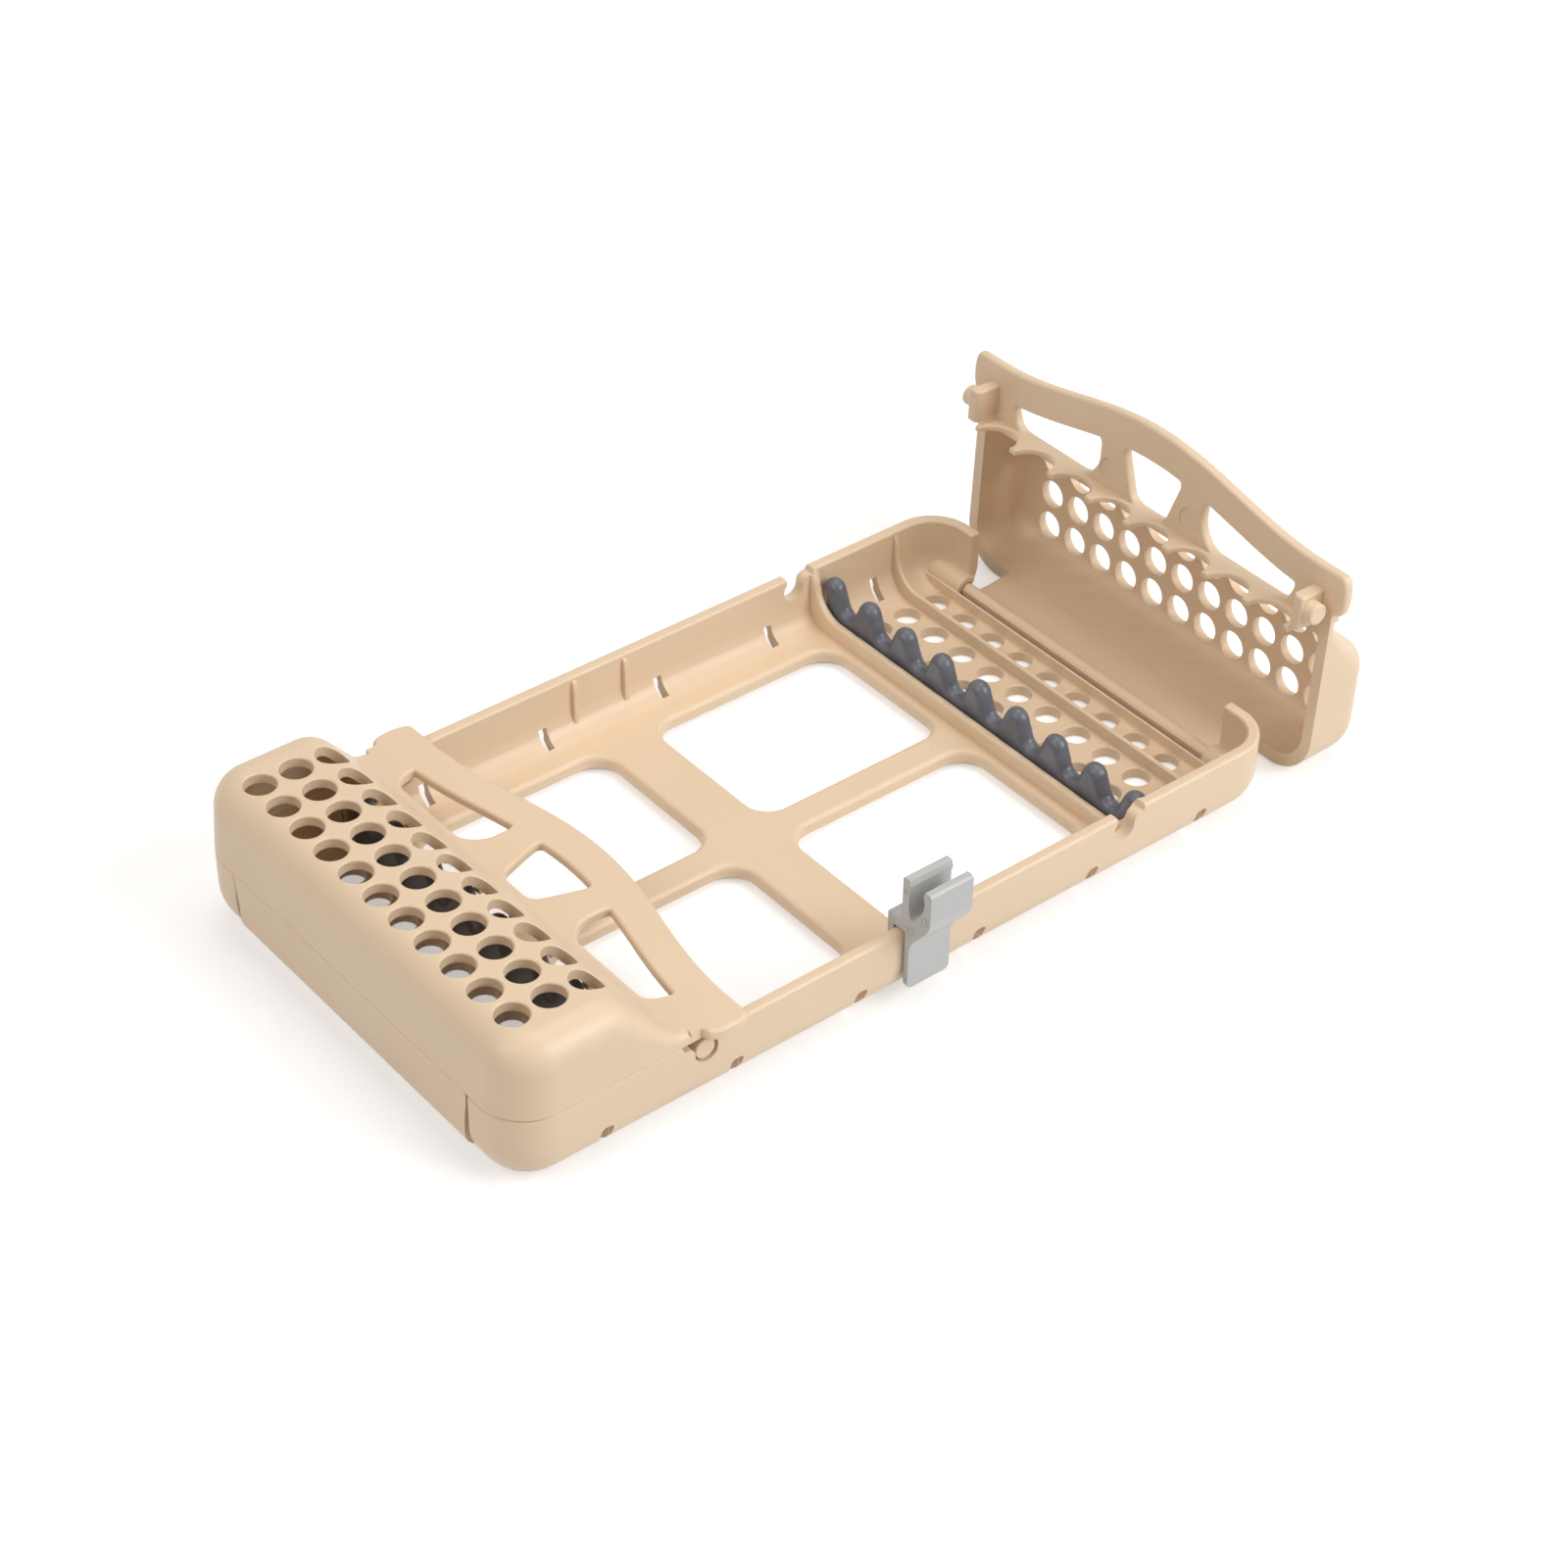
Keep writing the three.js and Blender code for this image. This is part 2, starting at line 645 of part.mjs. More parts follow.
// The end wall below the rim, down to the hinge rod that is moulded on its edge
function tail() {
  const inX = endX - wallThickness;
  const shape = new THREE.Shape();
  shape.moveTo(inX, lidBottom + gap);
  shape.lineTo(inX, hingeHeight + tailRadius);
  shape.quadraticCurveTo(inX, hingeHeight + rodRadius, hingeX, hingeHeight + rodRadius / 2);
  shape.lineTo(hingeX, hingeHeight - rodRadius / 2);
  const turnZ = hingeHeight + tailRadius - tailDrop;
  shape.absarc(endX - tailRadius, turnZ, tailRadius, 3 * quarter, 4 * quarter, false);
  shape.lineTo(endX, lidBottom + gap);
  const widest = mouthWidth / 2 - gap;
  const narrow = bossEndY - gap;
  const side = outline([
    [-narrow, -overrun],
    [narrow, -overrun],
    [narrow, tailShoulderHeight],
    [widest, tailShoulderHeight + tailShoulderRise],
    [widest, lidBottom + overrun],
    [-widest, lidBottom + overrun],
    [-widest, tailShoulderHeight + tailShoulderRise],
    [-narrow, tailShoulderHeight],
  ]);
  const within = alongX(side, hingeX - tailRadius, endX + overrun);
  const wall = alongY(shape, -widest, widest).intersect(within);
  const rodEnd = bossEndY + rodEntry;
  return wall.add(rodAlongY(hingeX, hingeHeight, rodRadius, -rodEnd, rodEnd, bossSides));
}

// Relief turned about the hinge, so that the rim swings clear of the tray's corners
function cornerRelief() {
  const firstY = mouthWidth / 2 - gap;
  const drop = wallHeight - hingeHeight;
  const centre = endX - cornerRadius;
  const profile = [new THREE.Vector2(0, firstY)];
  for (let i = 0; i <= reliefSteps; i += 1) {
    const y = firstY + ((sideY - firstY) * i) / reliefSteps;
    const inCorner = Math.max(0, y - (sideY - cornerRadius));
    const outX = centre + Math.sqrt(cornerRadius ** 2 - inCorner ** 2) - hingeX;
    profile.push(new THREE.Vector2(Math.hypot(Math.max(0, outX), drop) + gap / 2, y));
  }
  profile.push(new THREE.Vector2(0, sideY));
  const geometry = new THREE.LatheGeometry(profile, reliefSides);
  geometry.translate(hingeX, 0, hingeHeight);
  const turned = solid(geometry);
  const startX = hingeX - cornerRadius;
  const rimZone = box(startX, endX + overrun, -sideY, sideY, lidBottom - overrun, lidHeight);
  return join([turned, mirrored(turned)]).intersect(rimZone);
}

// The lid as it lies when shut, moved so that its hinge axis is at the origin
function lid() {
  const gripEnd = gripEdge(sideY) + earLength;
  const outside = lidForm(gripEnd, lidBottom, 0, 0, gripTop);
  const angle = slopeAngle * degree;
  const meet = slopeTopX + lidTopThickness * Math.tan(angle / 2);
  const hollowStart = meet - (lidHeight - lidTopThickness - lidBottom - gap) / Math.tan(angle);
  const hollow = lidForm(hollowStart, lidBottom - overrun, wallThickness, lidTopThickness, lidBottom);
  const holes = [];
  for (let row = 0; row < lidRowCount; row += 1) {
    for (let i = 0; i < lidHoleCount; i += 1) {
      const x = endX - lidRowInset - row * lidRowPitch;
      const y = (i - (lidHoleCount - 1) / 2) * lidHolePitch;
      holes.push(borer(x, y, lidHeight, lidHoleDiameter, lidEdgeRadius + overrun, lidHoleSides));
    }
  }
  const midEnd = midWindowWidth / 2;
  const mid = gripWindow(-midEnd, midEnd, midWindowTaper, midWindowTaper, 0);
  const [leanIn, leanOut] = [sideWindowTaperIn, sideWindowTaperOut];
  const far = gripWindow(midEnd + webWidth, sideWindowEnd, leanIn, leanOut, sideWindowKnee);
  const openings = [mid, far, mirrored(far)];
  const block = latchBlock();
  const shell = outside.add(gripPlate()).subtract(join([hollow, ...holes]));
  const joined = join([shell, comb(), block, mirrored(block), tail()]);
  const body = joined.subtract(join([...openings, cornerRelief()]));
  return copied(body, new THREE.Matrix4().makeTranslation(-hingeX, 0, -hingeHeight));
}

// A silicone rail: a thick strip with a wavy rounded top that fits the tray's section
function rail() {
  const last = (railBumps - 1) / 2;
  const endY = last * railPitch + railEnd;
  const radius = bottomRadius - wallThickness;
  const steps = railStepsPerBump * railBumps;
  const rings = [];
  for (let i = 0; i <= steps; i += 1) {
    const y = endY * ((2 * i) / steps - 1);
    const wave = (1 + Math.cos((4 * quarter * y) / railPitch)) / 2;
    const endDrop = Math.max(0, Math.abs(y) - last * railPitch) ** 2 / (2 * railEnd);
    const top = railValley + (railPeak - railValley) * wave - endDrop;
    const inFillet = Math.max(0, Math.abs(y) - (innerY - radius) + gap);
    const bottom = floorThickness + gap + radius - Math.sqrt(Math.max(0, radius ** 2 - inFillet ** 2));
    const ring = [[railInnerX, y, bottom]];
    for (let j = 0; j <= railSideSteps; j += 1) {
      const angle = (2 * quarter * j) / railSideSteps;
      const x = railInnerX + railThickness / 2 - (railThickness / 2) * Math.cos(angle);
      ring.push([x, y, top - railRound * (1 - Math.sin(angle))]);
    }
    ring.push([railInnerX + railThickness, y, bottom]);
    rings.push(ring);
  }
  return loft(rings);
}

// The clip: a saddle over the wall, and above it a slot between two jaws that widens
// upwards and is closed in again by a barb at each tip
function clip() {
  const rim = wallHeight + gap;
  const inside = -(innerY - gap);
  const outside = -(sideY + gap);
  const back = outside + gap - clipBridge / 2 + innerJawThickness;
  const innerFace = back - innerJawThickness;
  const plate = outside - clipPlate;
  const outerFace = -(sideY + jawReach);
  const slotFace = outerFace + outerJawThickness;
  const tip = wallHeight + jawRise;
  const throatFloor = wallHeight + throatRise;
  const throatTop = throatFloor + throatHeight;
  const shoulder = wallHeight + shoulderRise;
  const shape = new THREE.Shape();
  shape.moveTo(inside, rim - clipInnerDepth);
  shape.lineTo(inside, rim);
  shape.lineTo(outside, rim);
  shape.lineTo(outside, clipFootHeight);
  shape.lineTo(plate, clipFootHeight);
  shape.lineTo(plate, shoulder - shoulderDrop);
  shape.bezierCurveTo(plate, rim, outerFace, rim + clipBridge, outerFace, shoulder);
  shape.lineTo(outerFace, tip - jawBarb);
  shape.lineTo(outerFace + jawBarb, tip);
  shape.lineTo(slotFace, tip);
  shape.lineTo(slotFace + jawBarb, tip - jawBarbHeight / 2);
  shape.lineTo(slotFace, tip - jawBarbHeight);
  shape.lineTo(innerFace - throatWidth, throatTop);
  shape.lineTo(innerFace - throatWidth, throatFloor);
  shape.lineTo(innerFace, throatFloor);
  shape.lineTo(innerFace, tip - jawBarbHeight);
  shape.lineTo(innerFace - jawBarb, tip - jawBarbHeight / 2);
  shape.lineTo(innerFace, tip);
  shape.lineTo(back - jawBarb, tip);
  shape.lineTo(back, tip - jawBarb);
  shape.lineTo(back, shoulder);
  shape.quadraticCurveTo(back, rim + clipBridge, inside + clipInnerLeg, rim + clipBridge);
  shape.lineTo(inside + clipInnerLeg, rim - clipInnerDepth);
  return alongX(shape, -clipLength / 2, clipLength / 2);
}

const beige = '#dcc5a2';
const slate = '#4b4c54';
const grey = '#b9b9b6';

const group = new THREE.Group();
group.add(piece('tray', tray(), beige, 0.5));

const lidBody = lid();
const shutEnd = new THREE.Group();
shutEnd.rotation.z = 2 * quarter;
const lidClosed = piece('lid_left', lidBody, beige, 0.5);
lidClosed.position.set(hingeX, 0, hingeHeight);
shutEnd.add(lidClosed);
group.add(shutEnd);

const lidOpen = piece('lid_right', lidBody, beige, 0.5);
lidOpen.position.set(hingeX, 0, hingeHeight);
lidOpen.rotation.y = openAngle * degree;
group.add(lidOpen);

const railBody = rail();
group.add(piece('silicone_rail_right', railBody, slate, 0.45));
const railLeft = piece('silicone_rail_left', railBody, slate, 0.45);
railLeft.rotation.z = 2 * quarter;
group.add(railLeft);

group.add(piece('side_clip', clip(), grey, 0.5));

export default group;
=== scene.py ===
import math

import bmesh
import bpy
from mathutils import Matrix, Vector


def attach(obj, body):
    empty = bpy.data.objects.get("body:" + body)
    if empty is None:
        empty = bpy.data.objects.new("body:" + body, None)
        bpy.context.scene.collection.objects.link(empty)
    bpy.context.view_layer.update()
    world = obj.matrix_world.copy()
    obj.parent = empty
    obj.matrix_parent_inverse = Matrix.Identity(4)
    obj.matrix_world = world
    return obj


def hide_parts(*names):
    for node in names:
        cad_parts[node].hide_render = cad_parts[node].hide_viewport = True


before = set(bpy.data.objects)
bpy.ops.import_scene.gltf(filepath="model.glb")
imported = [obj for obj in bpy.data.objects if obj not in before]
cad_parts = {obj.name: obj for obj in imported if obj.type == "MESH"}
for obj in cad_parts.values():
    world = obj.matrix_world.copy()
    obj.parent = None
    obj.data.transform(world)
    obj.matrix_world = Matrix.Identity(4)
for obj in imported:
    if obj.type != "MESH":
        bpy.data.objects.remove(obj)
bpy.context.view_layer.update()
scene = bpy.context.scene

# Tray: one injection moulding in beige autoclavable plastic. Its walls turn into the
# floor in wide curves, and the floor stands higher round the four windows. Shapes are
# drawn in millimetres, and turned to metres when a piece is finished.
tray_length = 205.0
tray_width = 114.4
wall_height = 19.0
wall = 2.8
rim_round = 0.8
floor = 2.6
middle_rise = 1.8
middle_sweep = 5.5
rib_sweep = 7.7
bottom_round = 10.5
corner_round = 11.0
mouth_width = 84.0
floor_end_inset = 7.3
end_x = tray_length / 2
side_y = tray_width / 2
inner_y = side_y - wall
floor_end = end_x - floor_end_inset
mouth_round = 0.55
quarter = math.pi / 2
corner_steps = 14
curve_steps = 12
rim_steps = 5
cut_past = 2.0
touch = 1e-3


def angles(steps, last=quarter):
    """Angles from nought to a last one, in equal steps."""
    return [last * i / steps for i in range(steps + 1)]


def round_rectangle(half_x, half_y, corner, z):
    """Points of a rectangle with round corners, anticlockwise from above."""
    points = []
    for turn in range(4):
        sign_x = 1 if turn in (0, 3) else -1
        sign_y = 1 if turn < 2 else -1
        for i in range(corner_steps + 1):
            angle = quarter * (turn + i / corner_steps)
            x = sign_x * (half_x - corner) + corner * math.cos(angle)
            y = sign_y * (half_y - corner) + corner * math.sin(angle)
            points.append((x, y, z))
    return points


def rectangle(x0, x1, y0, y1):
    """Corners of a rectangle, anticlockwise from above."""
    return [(x0, y0), (x1, y0), (x1, y1), (x0, y1)]


def circle(radius, sides=32):
    """Points of a circle round the origin, anticlockwise."""
    turns = [2 * math.pi * i / sides for i in range(sides)]
    return [(radius * math.cos(turn), radius * math.sin(turn)) for turn in turns]


def curve(*pulls, steps):
    """Points from the first place to the last, drawn towards those between them."""
    points = []
    for i in range(steps + 1):
        level = pulls
        while len(level) > 1:
            pairs = zip(level, level[1:])
            level = [tuple(p + (q - p) * i / steps for p, q in zip(a, b)) for a, b in pairs]
        points.append(level[0])
    return points


def soft_outline(corners, steps=6):
    """A closed outline that turns each corner in a curve of the corner's own reach."""
    points = []
    for i, (u, v, reach) in enumerate(corners):
        if reach == 0:
            points.append((u, v))
            continue
        ends = []
        for other in (corners[i - 1], corners[(i + 1) % len(corners)]):
            share = min(reach / math.hypot(other[0] - u, other[1] - v), 0.5)
            ends.append((u + (other[0] - u) * share, v + (other[1] - v) * share))
        points += curve(ends[0], (u, v), ends[1], steps=steps)
    return points


def skinned(rings, name):
    """A closed solid over rings that have the same number of points."""
    shape = bmesh.new()
    rows = [[shape.verts.new(point) for point in ring] for ring in rings]
    count = len(rows[0])
    for low, high in zip(rows, rows[1:]):
        for i in range(count):
            j = (i + 1) % count
            shape.faces.new((low[i], low[j], high[j], high[i]))
    shape.faces.new(rows[0][::-1])
    shape.faces.new(rows[-1])
    return settled(shape, name)


def settled(shape, name):
    """Merges doubles, turns faces outwards and puts the shape in the scene."""
    bmesh.ops.remove_doubles(shape, verts=shape.verts, dist=1e-4)
    bmesh.ops.recalc_face_normals(shape, faces=shape.faces)
    mesh = bpy.data.meshes.new(name)
    shape.to_mesh(mesh)
    shape.free()
    piece = bpy.data.objects.new(name, mesh)
    scene.collection.objects.link(piece)
    return piece


def prism(outline, start, end, axis, name):
    """An outline that runs along an axis: drawn in Y and Z along X, in X and Z along Y,
    or in X and Y along Z."""
    place = {
        "X": lambda u, v, along: (along, u, v),
        "Y": lambda u, v, along: (u, along, v),
        "Z": lambda u, v, along: (u, v, along),
    }[axis]
    rings = [[place(u, v, along) for u, v in outline] for along in (start, end)]
    return skinned(rings, name)


def round_cutter(steps, name):
    """A cutter that is round about Z, from its radius and height at each step."""
    return skinned([[(u, v, z) for u, v in circle(radius)] for radius, z in steps], name)


def baked(piece):
    """Turns a piece's modifiers into its mesh."""
    graph = bpy.context.evaluated_depsgraph_get()
    mesh = bpy.data.meshes.new_from_object(piece.evaluated_get(graph))
    old = piece.data
    piece.modifiers.clear()
    piece.data = mesh
    bpy.data.meshes.remove(old)


def worked(piece, operation, *tools):
    """Joins, cuts or overlaps a piece with each tool in turn, and uses them up."""
    for tool in tools:
        step = piece.modifiers.new("Work", "BOOLEAN")
        step.operation = operation
        step.solver = "MANIFOLD"
        step.object = tool
        baked(piece)
        bpy.data.objects.remove(tool)
    return piece


def softened(piece, width, steps, pick):
    """Rounds the edges of a piece that a rule picks by their two ends."""
    bend = math.radians(30)
    shape = bmesh.new()
    shape.from_mesh(piece.data)
    edges = []
    for edge in shape.edges:
        bent = len(edge.link_faces) == 2 and edge.calc_face_angle(0) > bend
        if bent and pick(*(end.co for end in edge.verts)):
            edges.append(edge)
    bmesh.ops.bevel(
        shape,
        geom=edges,
        offset=width,
        offset_type="OFFSET",
        segments=steps,
        profile=0.5,
        affect="EDGES",
        clamp_overlap=True,
    )
    shape.to_mesh(piece.data)
    shape.free()
    return piece


def row_cut_tree():
    """Cuts a body with copies of one cutter, in rows along X and Y."""
    tree = bpy.data.node_groups.new("Cuts in rows", "GeometryNodeTree")
    kinds = {
        "Body": "NodeSocketGeometry",
        "Cutter": "NodeSocketObject",
        "First place": "NodeSocketVector",
        "Number along X": "NodeSocketInt",
        "Pitch along X": "NodeSocketFloat",
        "Number along Y": "NodeSocketInt",
        "Pitch along Y": "NodeSocketFloat",
        "Plastic": "NodeSocketMaterial",
    }
    for label, kind in kinds.items():
        tree.interface.new_socket(label, in_out="INPUT", socket_type=kind)
    tree.interface.new_socket("Body", in_out="OUTPUT", socket_type="NodeSocketGeometry")
    nodes, links = tree.nodes, tree.links
    given = nodes.new("NodeGroupInput")
    result = nodes.new("NodeGroupOutput")
    lines = []
    for axis in "XY":
        step = nodes.new("ShaderNodeCombineXYZ")
        links.new(given.outputs["Pitch along " + axis], step.inputs[axis])
        line = nodes.new("GeometryNodeMeshLine")
        line.mode = "OFFSET"
        links.new(given.outputs["Number along " + axis], line.inputs["Count"])
        links.new(step.outputs["Vector"], line.inputs["Offset"])
        lines.append(line)
    links.new(given.outputs["First place"], lines[0].inputs["Start Location"])
    rows = nodes.new("GeometryNodeInstanceOnPoints")
    links.new(lines[0].outputs["Mesh"], rows.inputs["Points"])
    links.new(lines[1].outputs["Mesh"], rows.inputs["Instance"])
    places = nodes.new("GeometryNodeRealizeInstances")
    links.new(rows.outputs["Instances"], places.inputs["Geometry"])
    cutter = nodes.new("GeometryNodeObjectInfo")
    links.new(given.outputs["Cutter"], cutter.inputs["Object"])
    copies = nodes.new("GeometryNodeInstanceOnPoints")
    links.new(places.outputs["Geometry"], copies.inputs["Points"])
    links.new(cutter.outputs["Geometry"], copies.inputs["Instance"])
    solid_copies = nodes.new("GeometryNodeRealizeInstances")
    links.new(copies.outputs["Instances"], solid_copies.inputs["Geometry"])
    cut = nodes.new("GeometryNodeMeshBoolean")
    cut.operation = "DIFFERENCE"
    cut.solver = "MANIFOLD"
    links.new(given.outputs["Body"], cut.inputs["Mesh 1"])
    links.new(solid_copies.outputs["Geometry"], cut.inputs["Mesh 2"])
    whole = nodes.new("GeometryNodeRealizeInstances")
    links.new(cut.outputs["Mesh"], whole.inputs["Geometry"])
    finish = nodes.new("GeometryNodeSetMaterial")
    links.new(whole.outputs["Geometry"], finish.inputs["Geometry"])
    links.new(given.outputs["Plastic"], finish.inputs["Material"])
    links.new(finish.outputs["Geometry"], result.inputs["Body"])
    return tree


row_cuts = row_cut_tree()


def cut_in_rows(piece, cutter, along_x=(1, 0.0), along_y=(1, 0.0), middle=(0, 0, 0)):
    """Cuts a number of copies at a pitch along X and Y, spaced evenly about a middle,
    and uses up the cutter."""
    first = [at - (row[0] - 1) / 2 * row[1] for at, row in zip(middle, (along_x, along_y))]
    step = piece.modifiers.new("Rows", "NODES")
    step.node_group = row_cuts
    values = {
        "Cutter": cutter,
        "First place": (*first, middle[2]),
        "Number along X": along_x[0],
        "Pitch along X": along_x[1],
        "Number along Y": along_y[0],
        "Pitch along Y": along_y[1],
        "Plastic": beige,
    }
    for socket in row_cuts.interface.items_tree:
        if socket.in_out == "INPUT" and socket.name in values:
            step[socket.identifier] = values[socket.name]
    baked(piece)
    bpy.data.objects.remove(cutter)
    return piece


def set_inputs(node, values):
    """Sets inputs of a node by their names."""
    for name, value in values.items():
        node.inputs[name].default_value = value


def new_surface(name):
    """A material with its nodes, links and surface, and the place in object space."""
    material = bpy.data.materials.new(name)
    material.use_nodes = True
    nodes, links = material.node_tree.nodes, material.node_tree.links
    place = nodes.new("ShaderNodeTexCoord").outputs["Object"]
    return material, nodes, links, nodes["Principled BSDF"], place


def moulded_plastic(name, pale, deep, roughness, grain):
    """Satin moulded plastic: a slow drift of colour and gloss, and a fine texture."""
    material, nodes, links, surface, place = new_surface(name)
    drift = nodes.new("ShaderNodeTexNoise")
    set_inputs(drift, {"Scale": 45, "Detail": 3})
    links.new(place, drift.inputs["Vector"])
    tint = nodes.new("ShaderNodeMix")
    tint.data_type = "RGBA"
    set_inputs(tint, {"A": (*pale, 1), "B": (*deep, 1)})
    links.new(drift.outputs["Fac"], tint.inputs["Factor"])
    links.new(tint.outputs["Result"], surface.inputs["Base Color"])
    gloss = nodes.new("ShaderNodeMapRange")
    set_inputs(gloss, {"From Min": 0.3, "From Max": 0.7})
    set_inputs(gloss, {"To Min": roughness - 0.04, "To Max": roughness + 0.05})
    links.new(drift.outputs["Fac"], gloss.inputs["Value"])
    links.new(gloss.outputs["Result"], surface.inputs["Roughness"])
    texture = nodes.new("ShaderNodeTexNoise")
    set_inputs(texture, {"Scale": 2600, "Detail": 2})
    links.new(place, texture.inputs["Vector"])
    relief = nodes.new("ShaderNodeBump")
    set_inputs(relief, {"Strength": grain, "Distance": 0.00005})
    links.new(texture.outputs["Fac"], relief.inputs["Height"])
    links.new(relief.outputs["Normal"], surface.inputs["Normal"])
    return material


pale, deep = (0.80, 0.615, 0.425), (0.775, 0.59, 0.40)
beige = moulded_plastic("beige_plastic", pale, deep, roughness=0.4, grain=0.12)


def tub_rings(skin, z_floor, z_top):
    """The tray's outside, set in by a skin: a rounded bottom edge and straight walls."""
    least_corner = 0.3
    half_x, half_y = end_x - skin, side_y - skin
    corner, edge = corner_round - skin, bottom_round - skin
    rings = []
    for angle in angles(curve_steps):
        inset = edge * (1 - math.sin(angle))
        turn = corner - inset * min(1, corner / (edge + least_corner))
        z = z_floor + edge * (1 - math.cos(angle))
        rings.append(round_rectangle(half_x - inset, half_y - inset, turn, z))
    rings.append(round_rectangle(half_x, half_y, corner, z_top))
    return rings


def tray_shell():
    """Outside, rounded rim and inside of the tray in one skin, with both mouths cut."""
    straight_top = wall_height - rim_round
    outside = tub_rings(0, 0, straight_top)
    inside = tub_rings(wall, floor, straight_top)
    steps = []
    for angle in angles(rim_steps)[1:]:
        steps.append((rim_round * (1 - math.cos(angle)), straight_top + rim_round * math.sin(angle)))
    for angle in angles(rim_steps)[1:]:
        step = wall - rim_round + rim_round * math.sin(angle)
        steps.append((step, straight_top + rim_round * math.cos(angle)))
    rim = [round_rectangle(end_x - step, side_y - step, corner_round - step, z) for step, z in steps]
    shell = skinned([*outside, *rim, *inside[::-1][1:]], "tray_body")
    half = mouth_width / 2
    for sign in (-1, 1):
        along = sorted((sign * floor_end, sign * (end_x + cut_past)))
        mouth = prism(rectangle(*along, -half, half), -cut_past, wall_height + cut_past, "Z", "mouth")
        worked(shell, "DIFFERENCE", mouth)
    softened(shell, mouth_round, 3, lambda a, b: at_mouth(a) and at_mouth(b))
    return shell


def at_mouth(point):
    """Whether a point lies on the cut edges of a mouth."""
    x, y, half = abs(point.x), abs(point.y), mouth_width / 2
    at_side = abs(y - half) < touch and x > floor_end - touch
    at_floor = abs(x - floor_end) < touch and y < half + touch
    return at_side or at_floor


def swept_rib(x0, x1, height, depth, sweep, crown):
    """A rib across the tray that sweeps up both walls, with a rounded crown."""
    fade, fade_steps, crown_steps, sweep_steps = 6.0, 6, 4, 16
    stations = []
    for angle in angles(crown_steps):
        stations.append((crown * (1 - math.cos(angle)), crown * (1 - math.sin(angle))))
    places = [(x0 + step, drop) for step, drop in stations]
    places += [(x1 - step, drop) for step, drop in stations[::-1]]
    rings = []
    for x, drop in places:
        half = inner_y - depth + drop
        bottom = floor + height - drop
        radius = sweep + drop
        side = []
        for i in range(fade_steps + 1):
            share = i / fade_steps
            y = inner_y + drop - depth * math.sin(quarter * share)
            side.append((y, wall_height + drop - fade * share))
        for angle in angles(sweep_steps)[1:]:
            y = half - radius + radius * math.cos(angle)
            side.append((y, bottom + radius - radius * math.sin(angle)))
        path = [*[(-y, z) for y, z in side], *side[::-1], *below(wall_height + 1)]
        rings.append([(x, y, z) for y, z in path])
    return skinned(rings, "rib")


def below(top):
    """Y and Z of a frame outside the walls and under the floor, which the core trims."""
    return [(side_y + 1, top), (side_y + 1, -1), (-side_y - 1, -1), (-side_y - 1, top)]


def raised_middle(reach):
    """The higher floor round the windows, which turns up into the walls."""
    sweep_steps, into_wall = 16, 0.03
    side = []
    for angle in angles(sweep_steps):
        y = inner_y + into_wall - middle_sweep * (1 - math.cos(angle))
        side.append((y, floor + middle_rise + middle_sweep * (1 - math.sin(angle))))
    outline = [*[(-y, z) for y, z in side], *side[::-1], *below(floor + middle_rise + middle_sweep)]
    return prism(outline, -reach, reach, "X", "raised_middle")


def rounded_mouth(radius, z_surface):
    """Flares and heights that give a cut edge a rounded lip at its upper surface."""
    last, count, above = math.radians(80), 5, 0.02
    steps = []
    for angle in angles(count, last):
        steps.append((radius * (1 - math.cos(angle)), z_surface - radius + radius * math.sin(angle)))
    over = z_surface - steps[-1][1] + above
    steps.append((steps[-1][0] + over * math.tan(last), z_surface + above))
    return steps


hole_inset, hole_pitch_x, hole_pitch_y, hole_radius, hole_lip = 11.3, 8.9, 9.8, 3.1, 0.4
just_over, drill_over = 0.05, 1.5
lip_x, lip_thickness, lip_height, lip_depth, lip_crown = end_x - 41.6, 2.1, 5.6, 2.0, 0.9
across_thickness, across_height, across_depth, across_crown = 1.2, 3.2, 1.2, 0.5
across_x = end_x - hole_inset - (hole_pitch_x + across_thickness) / 2
ledge_thickness, ledge_height, ledge_round = 0.8, 3.1, 0.35
hinge_x, hinge_z = end_x - 4.2, 5.1
boss_radius, boss_length, boss_nose = 3.1, 13.4, 0.4
bore_radius, bore_depth = 1.85, 3.3
boss_end = inner_y - boss_length
tray = tray_shell()
core_top = wall_height - 0.15
core = skinned(tub_rings(wall / 2, floor / 2, core_top), "core")


def round_bar(x, z, radius, y0, y1, name, nose=0.0, sides=40):
    """A round bar along Y; a nose rounds the edge of its end at y1."""
    sign = 1 if y1 > y0 else -1
    ends = [(y0, radius)]
    for angle in angles(4) if nose > 0 else [quarter]:
        ends.append((y1 - sign * nose * (1 - math.sin(angle)), radius - nose * (1 - math.cos(angle))))
    rings = [[(x + u, y, z + v) for u, v in circle(size, sides)] for y, size in ends]
    return skinned(rings, name)


